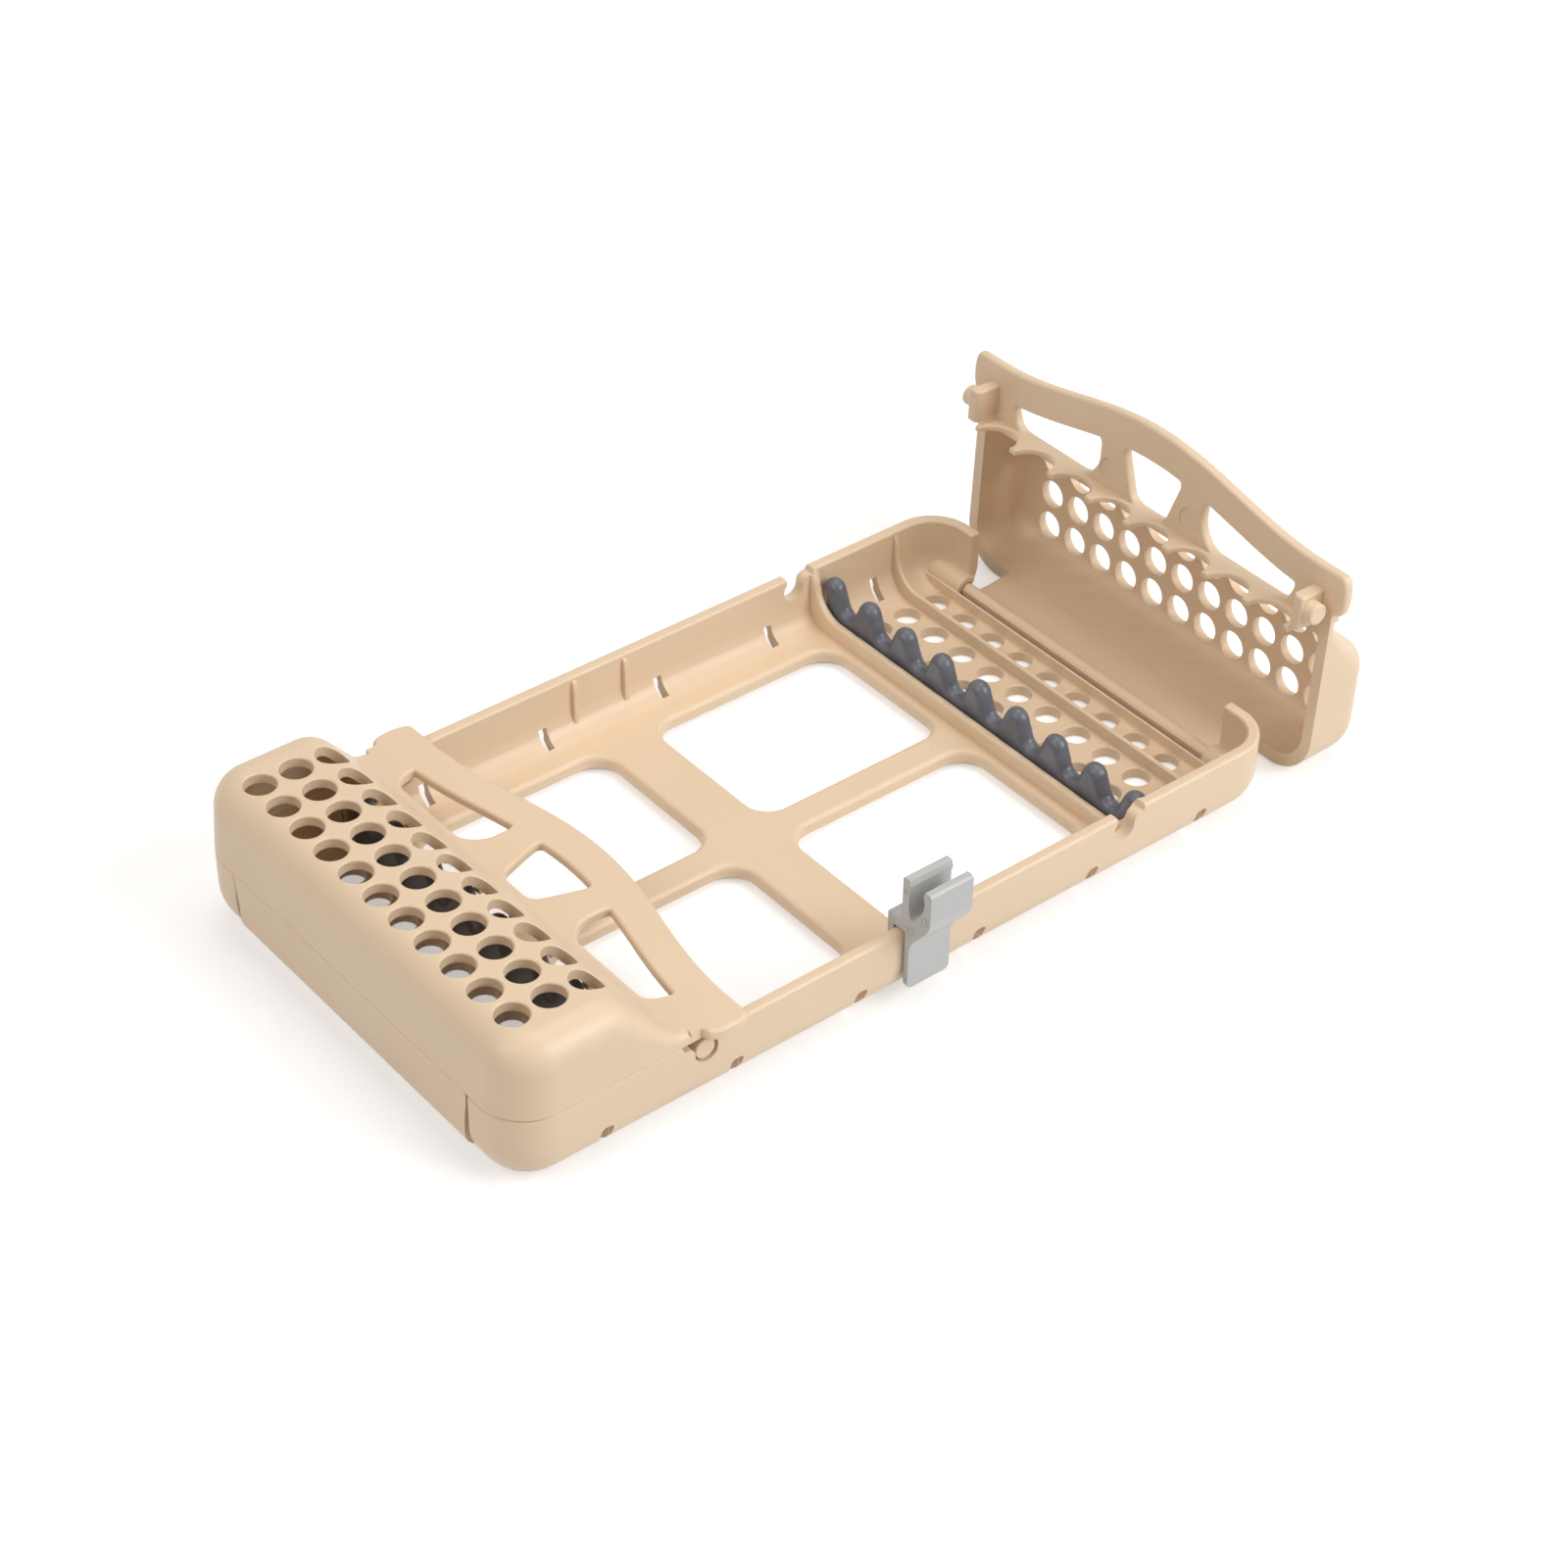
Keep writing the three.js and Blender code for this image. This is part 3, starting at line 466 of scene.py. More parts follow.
added = raised_middle(lip_x + 1)
for sign in (-1, 1):
    for x0, thickness, height, depth, crown in (
        (lip_x, lip_thickness, lip_height, lip_depth, lip_crown),
        (across_x, across_thickness, across_height, across_depth, across_crown),
    ):
        ends = sorted((sign * x0, sign * (x0 + thickness)))
        worked(added, "UNION", swept_rib(*ends, height, depth, rib_sweep, crown))
    x0, x1 = sorted((sign * (floor_end - ledge_thickness), sign * floor_end))
    top, nick = floor + ledge_height, 0.1
    edge = [(x0, 0), (x1, 0), (x1, top - ledge_round), (x1 - nick, top - nick), (x1 - ledge_round, top)]
    edge += [(x0 + ledge_round, top), (x0 + nick, top - nick), (x0, top - ledge_round)]
    worked(added, "UNION", prism(edge, -inner_y, inner_y, "Y", "ledge"))
    for side in (-1, 1):
        span = (side * (side_y - wall / 2), side * boss_end)
        boss = round_bar(sign * hinge_x, hinge_z, boss_radius, *span, "boss", nose=boss_nose)
        worked(added, "UNION", boss)
worked(added, "INTERSECT", core)
worked(tray, "UNION", added)


def wall_rib(x0, x1, depth, z0, z1, side):
    """A small upright rib on a side wall, which comes out of the wall in a curve."""
    steps, upper_stretch, edge_round, off_wall = 6, 3, 0.25, 0.2
    in_wall = side_y - wall / 2
    outline = [(in_wall, z1), (inner_y, z1)]
    for angle in angles(steps)[1:]:
        drop = upper_stretch * depth * (1 - math.cos(angle))
        outline.append((inner_y - depth * math.sin(angle), z1 - drop))
    for angle in angles(steps)[::-1]:
        outline.append((inner_y - depth * math.sin(angle), z0 + depth * (1 - math.cos(angle))))
    outline.append((in_wall, z0))
    rib = prism([(side * y, z) for y, z in outline], x0, x1, "X", "wall_rib")
    return softened(rib, edge_round, 2, lambda a, b: min(abs(a.y), abs(b.y)) < inner_y - off_wall)


for sign in (-1, 1):
    for side in (-1, 1):
        for x0, thickness, depth, z0, z1 in (
            (68.0, 1.1, 1.3, 9.5, 13.0),
            (6.4, 1.2, 1.1, 6.0, wall_height - 1.0),
        ):
            ends = sorted((sign * x0, sign * (x0 + thickness)))
            worked(tray, "UNION", wall_rib(*ends, depth, z0, z1, side))

pin_x, pin_z, pin_radius = end_x - 46.5, 15.45, 2.5
seat_radius, neck_half, neck_lip = 2.9, 2.65, 2.0


def neck_outline():
    """A latch notch's neck in X and Z: the pin's way out, which flares at the rim."""
    steps = 16
    swing = math.hypot(pin_x - hinge_x, pin_z - hinge_z)
    start = math.atan2(pin_z - hinge_z, pin_x - hinge_x)
    climb = wall_height + cut_past - pin_z
    inner, outer = [], []
    for i in range(steps + 1):
        angle = start - climb / swing * (i / steps)
        across, up = math.cos(angle), math.sin(angle)
        past = hinge_z + swing * up - (wall_height - neck_lip)
        flare = min(max(0, past), neck_lip)
        reach = neck_half + neck_lip - math.sqrt(neck_lip**2 - flare**2)
        inner.append((hinge_x + (swing + reach) * across, hinge_z + (swing + reach) * up))
        outer.append((hinge_x + (swing - reach) * across, hinge_z + (swing - reach) * up))
    return [*inner, *outer[::-1]]


for sign in (-1, 1):
    for side in (-1, 1):
        span = sorted((side * (inner_y - cut_past), side * (side_y + cut_past)))
        notch = round_bar(sign * pin_x, pin_z, seat_radius, *span, "seat")
        turned = [(sign * x, z) for x, z in neck_outline()]
        worked(notch, "UNION", prism(turned, *span, "Y", "neck"))
        worked(tray, "DIFFERENCE", notch)
        span = (side * (boss_end - cut_past), side * (boss_end + bore_depth))
        worked(tray, "DIFFERENCE", round_bar(sign * hinge_x, hinge_z, bore_radius, *span, "bore"))

window_length, window_width, window_round = 51.5, 40.4, 6.0
window_lip, window_flare = 1.3, 1.5
cross_bar, spine = 13.8, 8.0
window_rings = []
for flare, z in [
    (window_flare, -cut_past),
    (window_flare, 0),
    (0, window_flare),
    *rounded_mouth(window_lip, floor + middle_rise),
]:
    half_x, half_y = window_length / 2 + flare, window_width / 2 + flare
    window_rings.append(round_rectangle(half_x, half_y, window_round + flare, z))
window_cutter = skinned(window_rings, "window_cutter")
cut_in_rows(tray, window_cutter, (2, cross_bar + window_length), (2, spine + window_width))

for sign in (-1, 1):
    straight = [(hole_lip, floor + just_over), (hole_lip, floor + drill_over)]
    steps = [(0, -cut_past), *rounded_mouth(hole_lip, floor)[:-1], *straight]
    drill = round_cutter([(hole_radius + flare, z) for flare, z in steps], "floor_drill")
    middle = (sign * (end_x - hole_inset - hole_pitch_x), 0, 0)
    cut_in_rows(tray, drill, (3, -sign * hole_pitch_x), (10, hole_pitch_y), middle)

drain_in, drain_out, drain_top, drain_half = 51.0, 56.2, 8.7, 1.1
arch_in, arch_half, arch_round = 55.4, 1.5, 1.2
drain_row = (6, 32.0)
arch = [(-arch_half, -cut_past, 0), (arch_half, -cut_past, 0)]
arch += [(arch_half, drain_top, arch_round), (-arch_half, drain_top, arch_round)]
for side in (-1, 1):
    slot = rectangle(-drain_half, drain_half, *sorted((side * drain_in, side * drain_out)))
    cut_in_rows(tray, prism(slot, -cut_past, drain_top, "Z", "drain_cutter"), drain_row)
    ends = sorted((side * arch_in, side * (side_y + cut_past)))
    cut_in_rows(tray, prism(soft_outline(arch), *ends, "Y", "drain_mouth"), drain_row)

recess_radius, recess_depth, recess_inset, bevel_in, bevel_up = 2.3, 4.5, 4.4, 0.4, 0.3
recess_x, recess_y = end_x - recess_inset, side_y - recess_inset
recess_steps = [(recess_radius, -cut_past), (recess_radius, recess_depth - bevel_up)]
recess_steps.append((recess_radius - bevel_in, recess_depth))
corner_recess = round_cutter(recess_steps, "corner_recess")
dot_radius, dot_depth, dot_taper = 0.8, 0.12, 0.1
dot_top = floor + middle_rise
dot_steps = [(dot_radius - dot_taper, dot_top - dot_depth), (dot_radius, dot_top + just_over)]
dot_steps.append((dot_radius, dot_top + 1))
for x, y in ((0.0, 46.8), (51.1, 0.0)):
    dot = round_cutter(dot_steps, "ejector_dot")
    cut_in_rows(tray, dot, (2 if x else 1, 2 * x), (2 if y else 1, 2 * y))
cut_in_rows(tray, corner_recess, (2, 2 * recess_x), (2, 2 * recess_y))


def finished(piece, name, material, turn=None):
    """Shades a piece, turns it to metres in its place and gives it its material."""
    shape = bmesh.new()
    shape.from_mesh(piece.data)
    bmesh.ops.remove_doubles(shape, verts=shape.verts, dist=2e-3)
    bmesh.ops.dissolve_limit(
        shape,
        angle_limit=math.radians(0.3),
        use_dissolve_boundaries=False,
        verts=shape.verts,
        edges=shape.edges,
        delimit={"NORMAL"},
    )
    metres = Matrix.Scale(0.001, 4)
    shape.transform(metres @ turn if turn else metres)
    for face in shape.faces:
        face.smooth = True
    mesh = bpy.data.meshes.new(name)
    shape.to_mesh(mesh)
    shape.free()
    mesh.materials.append(material)
    mesh.set_sharp_from_angle(angle=math.radians(38))
    done = bpy.data.objects.new(name, mesh)
    scene.collection.objects.link(done)
    shading = done.modifiers.new("Even shading", "WEIGHTED_NORMAL")
    shading.mode = "FACE_AREA"
    shading.weight = 80
    shading.keep_sharp = True
    return done


tray_fine = finished(tray, "tray_moulding", beige)
bpy.data.objects.remove(tray)
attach(tray_fine, "tray")
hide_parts("tray")

# Lids: two equal mouldings in the same plastic, each with a vented hood, a grip with
# three windows, a comb that holds the instruments down, two latch pins on blocks, and
# an end wall that carries the hinge rod. One is made, and turned to both ends.
gap = 0.3
lid_bottom = wall_height + gap
grip_thickness = 2.6
grip_top = lid_bottom + grip_thickness
lid_height = 36.4
lid_top = 2.4
lid_edge = 7.0
lid_draft = math.tan(math.radians(5))
slope = math.radians(51)
slope_break = 8.0
slope_foot_x = end_x - 39.742
slope_top_x = slope_foot_x + (lid_height - grip_top) / math.tan(slope)
foot_round = 2.5
grip_reach, grip_bulge, grip_bulge_width = 55.5, 7.7, 104.0
ear_length, ear_reach = 10.2, 3.0
section_steps, break_steps, foot_steps = 12, 12, 6


def slope_bend(skin):
    """Where the hood's slope would meet its top, the bend's radius and its reach each way."""
    radius = max(slope_break - skin, gap)
    return slope_top_x + skin * math.tan(slope / 2), radius, radius * math.tan(slope / 2)


def lid_top_at(x, skin):
    """Height of the hood's outside over a place along X, or of its hollow."""
    top = lid_height - skin
    meet, radius, tangent = slope_bend(skin)
    if x >= meet + tangent:
        return top
    if x >= meet - tangent * math.cos(slope):
        return top - radius + math.sqrt(radius**2 - (meet + tangent - x) ** 2)
    return top - (meet - x) * math.tan(slope)


def lid_section(x, z0, top, side, skin):
    """The hood's section at one place along X, with round upper corners."""
    most_of_height = 0.75
    end = end_x - side
    corner = corner_round - side
    centre = end - corner
    edge = min(lid_edge - skin, (top - z0) * most_of_height)
    depth = min(edge, end - x)
    last = math.acos(1 - depth / edge)
    half = []
    for angle in angles(section_steps, last):
        inset = edge * (1 - math.cos(angle))
        turn = math.sqrt(max(0, (corner - inset) ** 2 - max(0, x - centre) ** 2))
        half.append((side_y - side - corner + turn, top - edge + edge * math.sin(angle)))
    lean = lid_draft * max(0, (x - centre) / corner)
    foot = half[0][0]
    points = [(-foot, z0), (foot, z0), *half, *[(-y, z) for y, z in half[::-1]]]
    return [(x - lean * max(0, z - lid_bottom), y, z) for y, z in points]


def lid_form(start_x, z0, side, skin, start_top):
    """The hood's outside or its hollow, from the grip to the end wall."""
    corner = corner_round - side
    meet, _, tangent = slope_bend(skin)
    break_start = meet - tangent * math.cos(slope)
    foot = meet - (lid_height - skin - start_top) / math.tan(slope)
    has_foot = foot > start_x + gap
    stations = [start_x]
    before_foot, foot_span = foot_round / 1.2, 1.7 * foot_round
    if has_foot:
        for i in range(foot_steps + 1):
            stations.append(foot - before_foot + foot_span * i / foot_steps)
    for i in range(break_steps + 1):
        stations.append(break_start + (meet + tangent - break_start) * i / break_steps)
    stations += [end_x - side - corner + corner * math.sin(angle) for angle in angles(corner_steps)]
    rings = []
    for x in stations:
        height = lid_top_at(x, skin)
        blend = (height - start_top) / foot_round
        if has_foot and abs(blend) < 1:
            height = start_top + foot_round * (blend + 1) ** 2 / 4
        if has_foot:
            height = max(start_top, height)
        rings.append(lid_section(x, z0, height, side, skin))
    return skinned(rings, "lid_form")


def grip_edge(y):
    """Inboard edge of the grip: a wide wave that reaches furthest at the middle."""
    along = min(1, abs(y) / (grip_bulge_width / 2))
    return end_x - grip_reach - grip_bulge * (1 + math.cos(along * math.pi)) / 2


def grip_plate():
    """The grip, with an ear past each side wall, and rounded upper and lower edges."""
    edge_steps, ear_steps, edge_round = 56, 18, 0.9
    edge = []
    for i in range(edge_steps + 1):
        y = side_y * (1 - 2 * i / edge_steps)
        edge.append((grip_edge(y), y))
    ear_end = grip_edge(side_y) + ear_length
    ear = []
    for angle in angles(ear_steps, math.pi)[1:-1]:
        x = ear_end - ear_length / 2 * (1 + math.cos(angle))
        ear.append((x, side_y + ear_reach * math.sqrt(math.sin(angle))))
    outline = [*edge, *[(x, -y) for x, y in ear], (ear_end, -side_y)]
    back = ear_end + grip_thickness
    outline += [(back, -side_y), (back, side_y), (ear_end, side_y), *ear[::-1]]
    plate = prism(outline, lid_bottom, grip_top, "Z", "grip")

    def on_edge(a, b):
        level = abs(a.z - b.z) < touch
        return level and max(a.x, b.x) < ear_end + touch

    return softened(plate, edge_round, 4, on_edge)


def widened(outline, flare):
    """The outline moved outwards by a flare; it runs anticlockwise."""
    moved = []
    for i, (u, v) in enumerate(outline):
        before, after = outline[i - 1], outline[(i + 1) % len(outline)]
        along = (after[0] - before[0], after[1] - before[1])
        size = math.hypot(*along)
        moved.append((u + flare * along[1] / size, v - flare * along[0] / size))
    return moved


comb_out_x = end_x - 40.0
comb_thickness = 1.6
comb_in_x = comb_out_x - comb_thickness


def grip_window(y_in, y_out, taper_in, taper_out, knee):
    """One opening of the grip, with rounded edges; its outboard side meets the comb."""
    border, reach, knee_reach, edge_steps = 8.6, 2.6, 2.2, 16
    upper_lip, upper_flare = 0.8, 1.2
    inboard = []
    for i in range(edge_steps + 1):
        y = y_in + (y_out - y_in) * i / edge_steps
        if y_in + reach / 2 < y < y_out - reach / 2:
            inboard.append((grip_edge(y) + border, y, 0))
    corners = [(grip_edge(y_in) + border, y_in, reach), *inboard]
    corners += [(grip_edge(y_out) + border, y_out, reach), (comb_in_x, y_out - taper_out, reach)]
    corners.append((comb_in_x, y_in + taper_in, reach))
    if knee > 0:
        corners.append((comb_in_x - knee, y_in, knee_reach))
    outline = soft_outline(corners)[::-1]
    lower_edge = ((0.6, -cut_past), (0.6, -0.01), (0.25, 0.2), (0, 0.6))
    steps = [(flare, lid_bottom + rise) for flare, rise in lower_edge]
    steps += [*rounded_mouth(upper_lip, grip_top), (upper_flare, grip_top + cut_past)]
    rings = []
    for flare, z in steps:
        points = widened(outline, flare)
        if z < lid_bottom + 1:
            points = [(min(x, comb_in_x), y) for x, y in points]
        rings.append([(x, y, z) for x, y in points])
    return skinned(rings, "grip_window")


def comb():
    """The comb: a plate with a fillet at its outboard root, scalloped for eight instruments."""
    pitch, count, cusp, radius, round_off = 12.7, 8, 12.7, 5.35, 0.45
    fillet, bevel, past_cusp, in_grip, in_plate = 1.0, 0.3, 0.2, 1.3, 0.5
    beyond, root_steps, edge_steps, sides = 4, 6, 4, 40
    reach = count * pitch / 2 + past_cusp
    top = lid_bottom + in_grip
    slab = [(comb_in_x, top), (comb_in_x, cusp + bevel), (comb_in_x + bevel, cusp)]
    slab += [(comb_out_x - bevel, cusp), (comb_out_x, cusp + bevel), (comb_out_x, top)]
    plate = prism(slab, -reach, reach, "Y", "comb")
    root = [(comb_out_x - in_plate, top), (comb_out_x - in_plate, lid_bottom - fillet)]
    for angle in angles(root_steps)[::-1]:
        x = comb_out_x + fillet * (1 - math.sin(angle))
        root.append((x, lid_bottom - fillet * (1 - math.cos(angle))))
    root.append((comb_out_x + fillet, top))
    worked(plate, "UNION", prism(root, -reach, reach, "Y", "comb_root"))
    stations = [(comb_in_x - beyond, round_off)]
    for angle in angles(edge_steps):
        x = comb_in_x + round_off * (1 - math.cos(angle))
        stations.append((x, round_off * (1 - math.sin(angle))))
    stations += [(comb_in_x + comb_out_x - x, drop) for x, drop in stations[::-1]]
    rings = [[(x, u, v) for u, v in circle(radius + drop, sides)] for x, drop in stations]
    return cut_in_rows(plate, skinned(rings, "scallop"), along_y=(count, pitch), middle=(0, 0, cusp))


def latch_block(side):
    """The block beside the wall, with the latch pin that snaps into the tray's notch."""
    thickness, foot, chamfer, edge_round = 3.2, 12.6, 0.9, 0.5
    block_inset, pin_root, pin_short, pin_nose = 50.2, 1.6, 0.4, 0.45
    x0, x1 = end_x - block_inset, comb_in_x - gap
    y1 = inner_y - gap
    y0 = y1 - thickness
    top = grip_top - gap
    outline = [(y0 + chamfer, foot), (y1, foot), (y1, top), (y0, top), (y0, foot + chamfer)]
    block = prism([(side * y, z) for y, z in outline], x0, x1, "X", "latch_block")
    softened(block, edge_round, 3, lambda a, b: min(a.z, b.z) < grip_top - 1)
    span = (side * (y1 - pin_root), side * (side_y - pin_short))
    return worked(block, "UNION", round_bar(pin_x, pin_z, pin_radius, *span, "pin", nose=pin_nose))


def end_wall():
    """The end wall below the rim, down to the hinge rod that is moulded on its edge."""
    tail, drop, steps = 5.0, 2.0, 12
    rod_radius, rod_reach, tongue, sliver, off_side = 1.5, 3.0, 0.75, 0.01, 0.1
    narrow_top, wide_foot, shoulder_reach, edge_round = 10.5, 17.5, 2.0, 0.4
    in_x = end_x - wall
    section = [(in_x + 1, lid_bottom + 1), (in_x + sliver, lid_bottom)]
    pull = (in_x, hinge_z + rod_radius)
    section += curve((in_x, hinge_z + tail), pull, (hinge_x, hinge_z + tongue), steps=steps)
    section.append((hinge_x, hinge_z - tongue))
    for angle in angles(steps):
        z = hinge_z + tail - drop - tail * math.cos(angle)
        section.append((end_x - tail + tail * math.sin(angle), z))
    section.append((end_x, lid_bottom + gap))
    widest, narrow = mouth_width / 2 - gap, boss_end - gap
    half = [(narrow, -cut_past, 0), (narrow, narrow_top, shoulder_reach)]
    half += [(widest, wide_foot, shoulder_reach), (widest, lid_bottom + cut_past, 0)]
    sides = [(-narrow, -cut_past, 0), *half, *[(-y, z, reach) for y, z, reach in half[:0:-1]]]
    within = prism(soft_outline(sides), hinge_x - tail, end_x + cut_past, "X", "within")
    body = worked(prism(section, -widest, widest, "Y", "end_wall"), "INTERSECT", within)

    def on_side(a, b):
        return max(a.z, b.z) < lid_bottom and min(abs(a.y), abs(b.y)) > narrow - off_side

    softened(body, edge_round, 3, on_side)
    rod_end = boss_end + rod_reach
    return worked(body, "UNION", round_bar(hinge_x, hinge_z, rod_radius, -rod_end, rod_end, "rod"))


def corner_relief(side):
    """What the rim loses at a corner so that it swings clear of the tray."""
    steps, sides = 14, 96
    first = mouth_width / 2 - gap
    drop = wall_height - hinge_z
    centre = end_x - corner_round
    rings = []
    for i in range(steps + 1):
        y = first + (side_y + 1 - first) * i / steps
        in_corner = min(corner_round, max(0, y - (side_y - corner_round)))
        out_x = centre + math.sqrt(corner_round**2 - in_corner**2) - hinge_x
        radius = math.hypot(max(0, out_x), drop) + gap / 2
        rings.append([(hinge_x + u, side * y, hinge_z + v) for u, v in circle(radius, sides)])
    turned = skinned(rings, "relief")
    half = side_y + cut_past
    zone = rectangle(hinge_x - corner_round, end_x + cut_past, -half, half)
    return worked(turned, "INTERSECT", prism(zone, lid_bottom - cut_past, lid_height, "Z", "zone"))


grip_end = grip_edge(side_y) + ear_length
lid = lid_form(grip_end, lid_bottom, 0, 0, grip_top)
worked(lid, "UNION", grip_plate())
hollow_height = lid_height - lid_top - lid_bottom - gap
hollow_start = slope_bend(lid_top)[0] - hollow_height / math.tan(slope)
worked(lid, "DIFFERENCE", lid_form(hollow_start, lid_bottom - cut_past, wall, lid_top, lid_bottom))
vent_radius, vent_lip, vent_depth, vent_over = 3.55, 0.45, 8.5, 0.1
vent_inset, vent_pitch_x, vent_pitch_y = 9.6, 8.7, 8.91


def lid_drill(x):
    """A drill for one row of holes, whose rounded mouth follows the hood's surface."""
    rings = [[(u, v, -vent_depth) for u, v in circle(vent_radius)]]
    for flare, z in [*rounded_mouth(vent_lip, 0)[:-1], (vent_lip, vent_over), (vent_lip, cut_past)]:
        level = circle(vent_radius + flare)
        rings.append([(u, v, z + lid_top_at(x + u, 0) - lid_height) for u, v in level])
    return skinned(rings, "lid_drill")


for row in range(3):
    x = end_x - vent_inset - row * vent_pitch_x
    cut_in_rows(lid, lid_drill(x), along_y=(11, vent_pitch_y), middle=(x, 0, lid_height))
worked(lid, "UNION", comb(), latch_block(1), latch_block(-1), end_wall())
middle_window = grip_window(y_in=-9.3, y_out=9.3, taper_in=4.2, taper_out=4.2, knee=0)
near_window, far_window = [
    grip_window(y_in=16.7, y_out=45.8, taper_in=3.3, taper_out=2.2, knee=4.4) for _ in range(2)
]
near_window.data.transform(Matrix.Scale(-1, 4, (0, 1, 0)))
near_window.data.flip_normals()
worked(lid, "DIFFERENCE", middle_window, far_window, near_window)
worked(lid, "DIFFERENCE", corner_relief(1), corner_relief(-1))
web_radius, web_depth, web_pitch, web_inset, bevel_in, bevel_up = 3.2, 0.45, 25.8, 4.4, 0.3, 0.2
web_steps = [(web_radius, lid_bottom - 1), (web_radius, lid_bottom + web_depth - bevel_up)]
web_steps.append((web_radius - bevel_in, lid_bottom + web_depth))
recess = round_cutter(web_steps, "web_recess")
cut_in_rows(lid, recess, along_y=(2, web_pitch), middle=(comb_in_x - web_inset, 0, 0))
seam_depth, seam_mouth, seam_floor = 0.12, 0.45, 0.05
seam = [(end_x + 1, lid_bottom + seam_mouth), (end_x - seam_depth, lid_bottom + seam_floor)]
seam += [(end_x - seam_depth, lid_bottom - seam_floor), (end_x + 1, lid_bottom - seam_mouth)]
worked(lid, "DIFFERENCE", prism(seam, -mouth_width / 2, mouth_width / 2, "Y", "parting_line"))

open_turn = math.radians(92.4)
hinge = Matrix.Translation((hinge_x, 0, hinge_z))
swing = Matrix.Rotation(open_turn, 4, "Y")
half_turn = Matrix.Rotation(math.pi, 4, "Z")
lid_turns = {"lid_left": half_turn, "lid_right": hinge @ swing @ hinge.inverted()}
for body, turn in lid_turns.items():
    lid_fine = finished(lid, body + "_moulding", beige, turn)
    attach(lid_fine, body)
    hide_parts(body)
bpy.data.objects.remove(lid)

# Rails: a strip of slate-grey silicone at each end of the tray, pressed in beside its
# lip. Its wavy top keeps eight instruments apart. The rubber is soft and a little
# glossy where it bends.
rail_pitch, rail_bumps = 12.7, 9
rail_peak = 16.6
rail_thickness = 4.4
rail_inset = 34.8
rail_in_x = end_x - rail_inset - rail_thickness
rail_end = 2.6


def silicone_rubber():
    """Slate silicone: a soft sheen, faint mottling and a fine matt bloom."""
    material, nodes, links, surface, place = new_surface("slate_silicone")
    bloom = nodes.new("ShaderNodeTexNoise")
    set_inputs(bloom, {"Scale": 260, "Detail": 5})
    links.new(place, bloom.inputs["Vector"])
    tint = nodes.new("ShaderNodeValToRGB")
    tint.color_ramp.elements[0].position = 0.35
    tint.color_ramp.elements[0].color = (0.105, 0.112, 0.134, 1)
    tint.color_ramp.elements[1].position = 0.7
    tint.color_ramp.elements[1].color = (0.135, 0.142, 0.168, 1)
    links.new(bloom.outputs["Fac"], tint.inputs["Fac"])
    links.new(tint.outputs["Color"], surface.inputs["Base Color"])
    gloss = nodes.new("ShaderNodeMapRange")
    set_inputs(gloss, {"To Min": 0.26, "To Max": 0.4})
    links.new(bloom.outputs["Fac"], gloss.inputs["Value"])
    links.new(gloss.outputs["Result"], surface.inputs["Roughness"])
    relief = nodes.new("ShaderNodeBump")
    set_inputs(relief, {"Strength": 0.15, "Distance": 0.0001})
    links.new(bloom.outputs["Fac"], relief.inputs["Height"])
    links.new(relief.outputs["Normal"], surface.inputs["Normal"])
    return material


def bump_curve():
    """The rail's ridge in Y and Z with its slope, from one end to the other: round
    bumps and round valleys, with straight flanks between them."""
    flank = math.radians(67)
    peak_round, valley_round, steps = 2.9, 2.3, 8
    both = peak_round + valley_round
    straight = (rail_pitch / 2 - both * math.sin(flank)) / math.cos(flank)
    low = both * (1 - math.cos(flank)) + straight * math.sin(flank)
    half_wave = []
    for angle in angles(steps, flank):
        half_wave.append((peak_round * math.sin(angle), -peak_round * (1 - math.cos(angle)), angle))
    for angle in angles(steps, flank)[-2::-1]:
        y = rail_pitch / 2 - valley_round * math.sin(angle)
        half_wave.append((y, valley_round * (1 - math.cos(angle)) - low, angle))
    last = (rail_bumps - 1) // 2
    points = []
    for bump in range(-last, last + 1):
        centre = bump * rail_pitch
        after = half_wave
        if bump > -last:
            points += [(centre - y, rail_peak + z, -angle) for y, z, angle in half_wave[::-1][1:]]
            after = half_wave[1:]
        if bump < last:
            points += [(centre + y, rail_peak + z, angle) for y, z, angle in after]
    end_turn = []
    for angle in angles(steps)[1:]:
        y = last * rail_pitch + rail_end * math.sin(angle)
        end_turn.append((y, rail_peak - rail_end * (1 - math.cos(angle)), angle))
    start_turn = [(-y, z, -angle) for y, z, angle in end_turn[::-1]]
    return [*start_turn, *points, *end_turn]


def wavy_rail():
    """The strip: nine bumps, a half-round top, and a foot that fits the tray's section."""
    steps = 12
    radius = bottom_round - wall
    half = rail_thickness / 2
    rings = []
    for y, z, angle in bump_curve():
        levels = []
        for turn in angles(steps, math.pi):
            drop = half * (1 - math.sin(turn))
            x = rail_in_x + half * (1 - math.cos(turn))
            levels.append((x, y - drop * math.sin(angle), z - drop * math.cos(angle)))
        in_fillet = max(0, abs(levels[0][1]) - (inner_y - radius) + gap)
        bottom = floor + gap + radius - math.sqrt(max(0, radius**2 - in_fillet**2))
        first = (rail_in_x, levels[0][1], bottom)
        rings.append([first, *levels, (rail_in_x + rail_thickness, levels[0][1], bottom)])
    return skinned(rings, "rail")


slate = silicone_rubber()
rail = wavy_rail()
for node, turn in (("silicone_rail_right", None), ("silicone_rail_left", half_turn)):
    rail_fine = finished(rail, node + "_strip", slate, turn)
    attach(rail_fine, "tray")
    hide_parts(node)
bpy.data.objects.remove(rail)

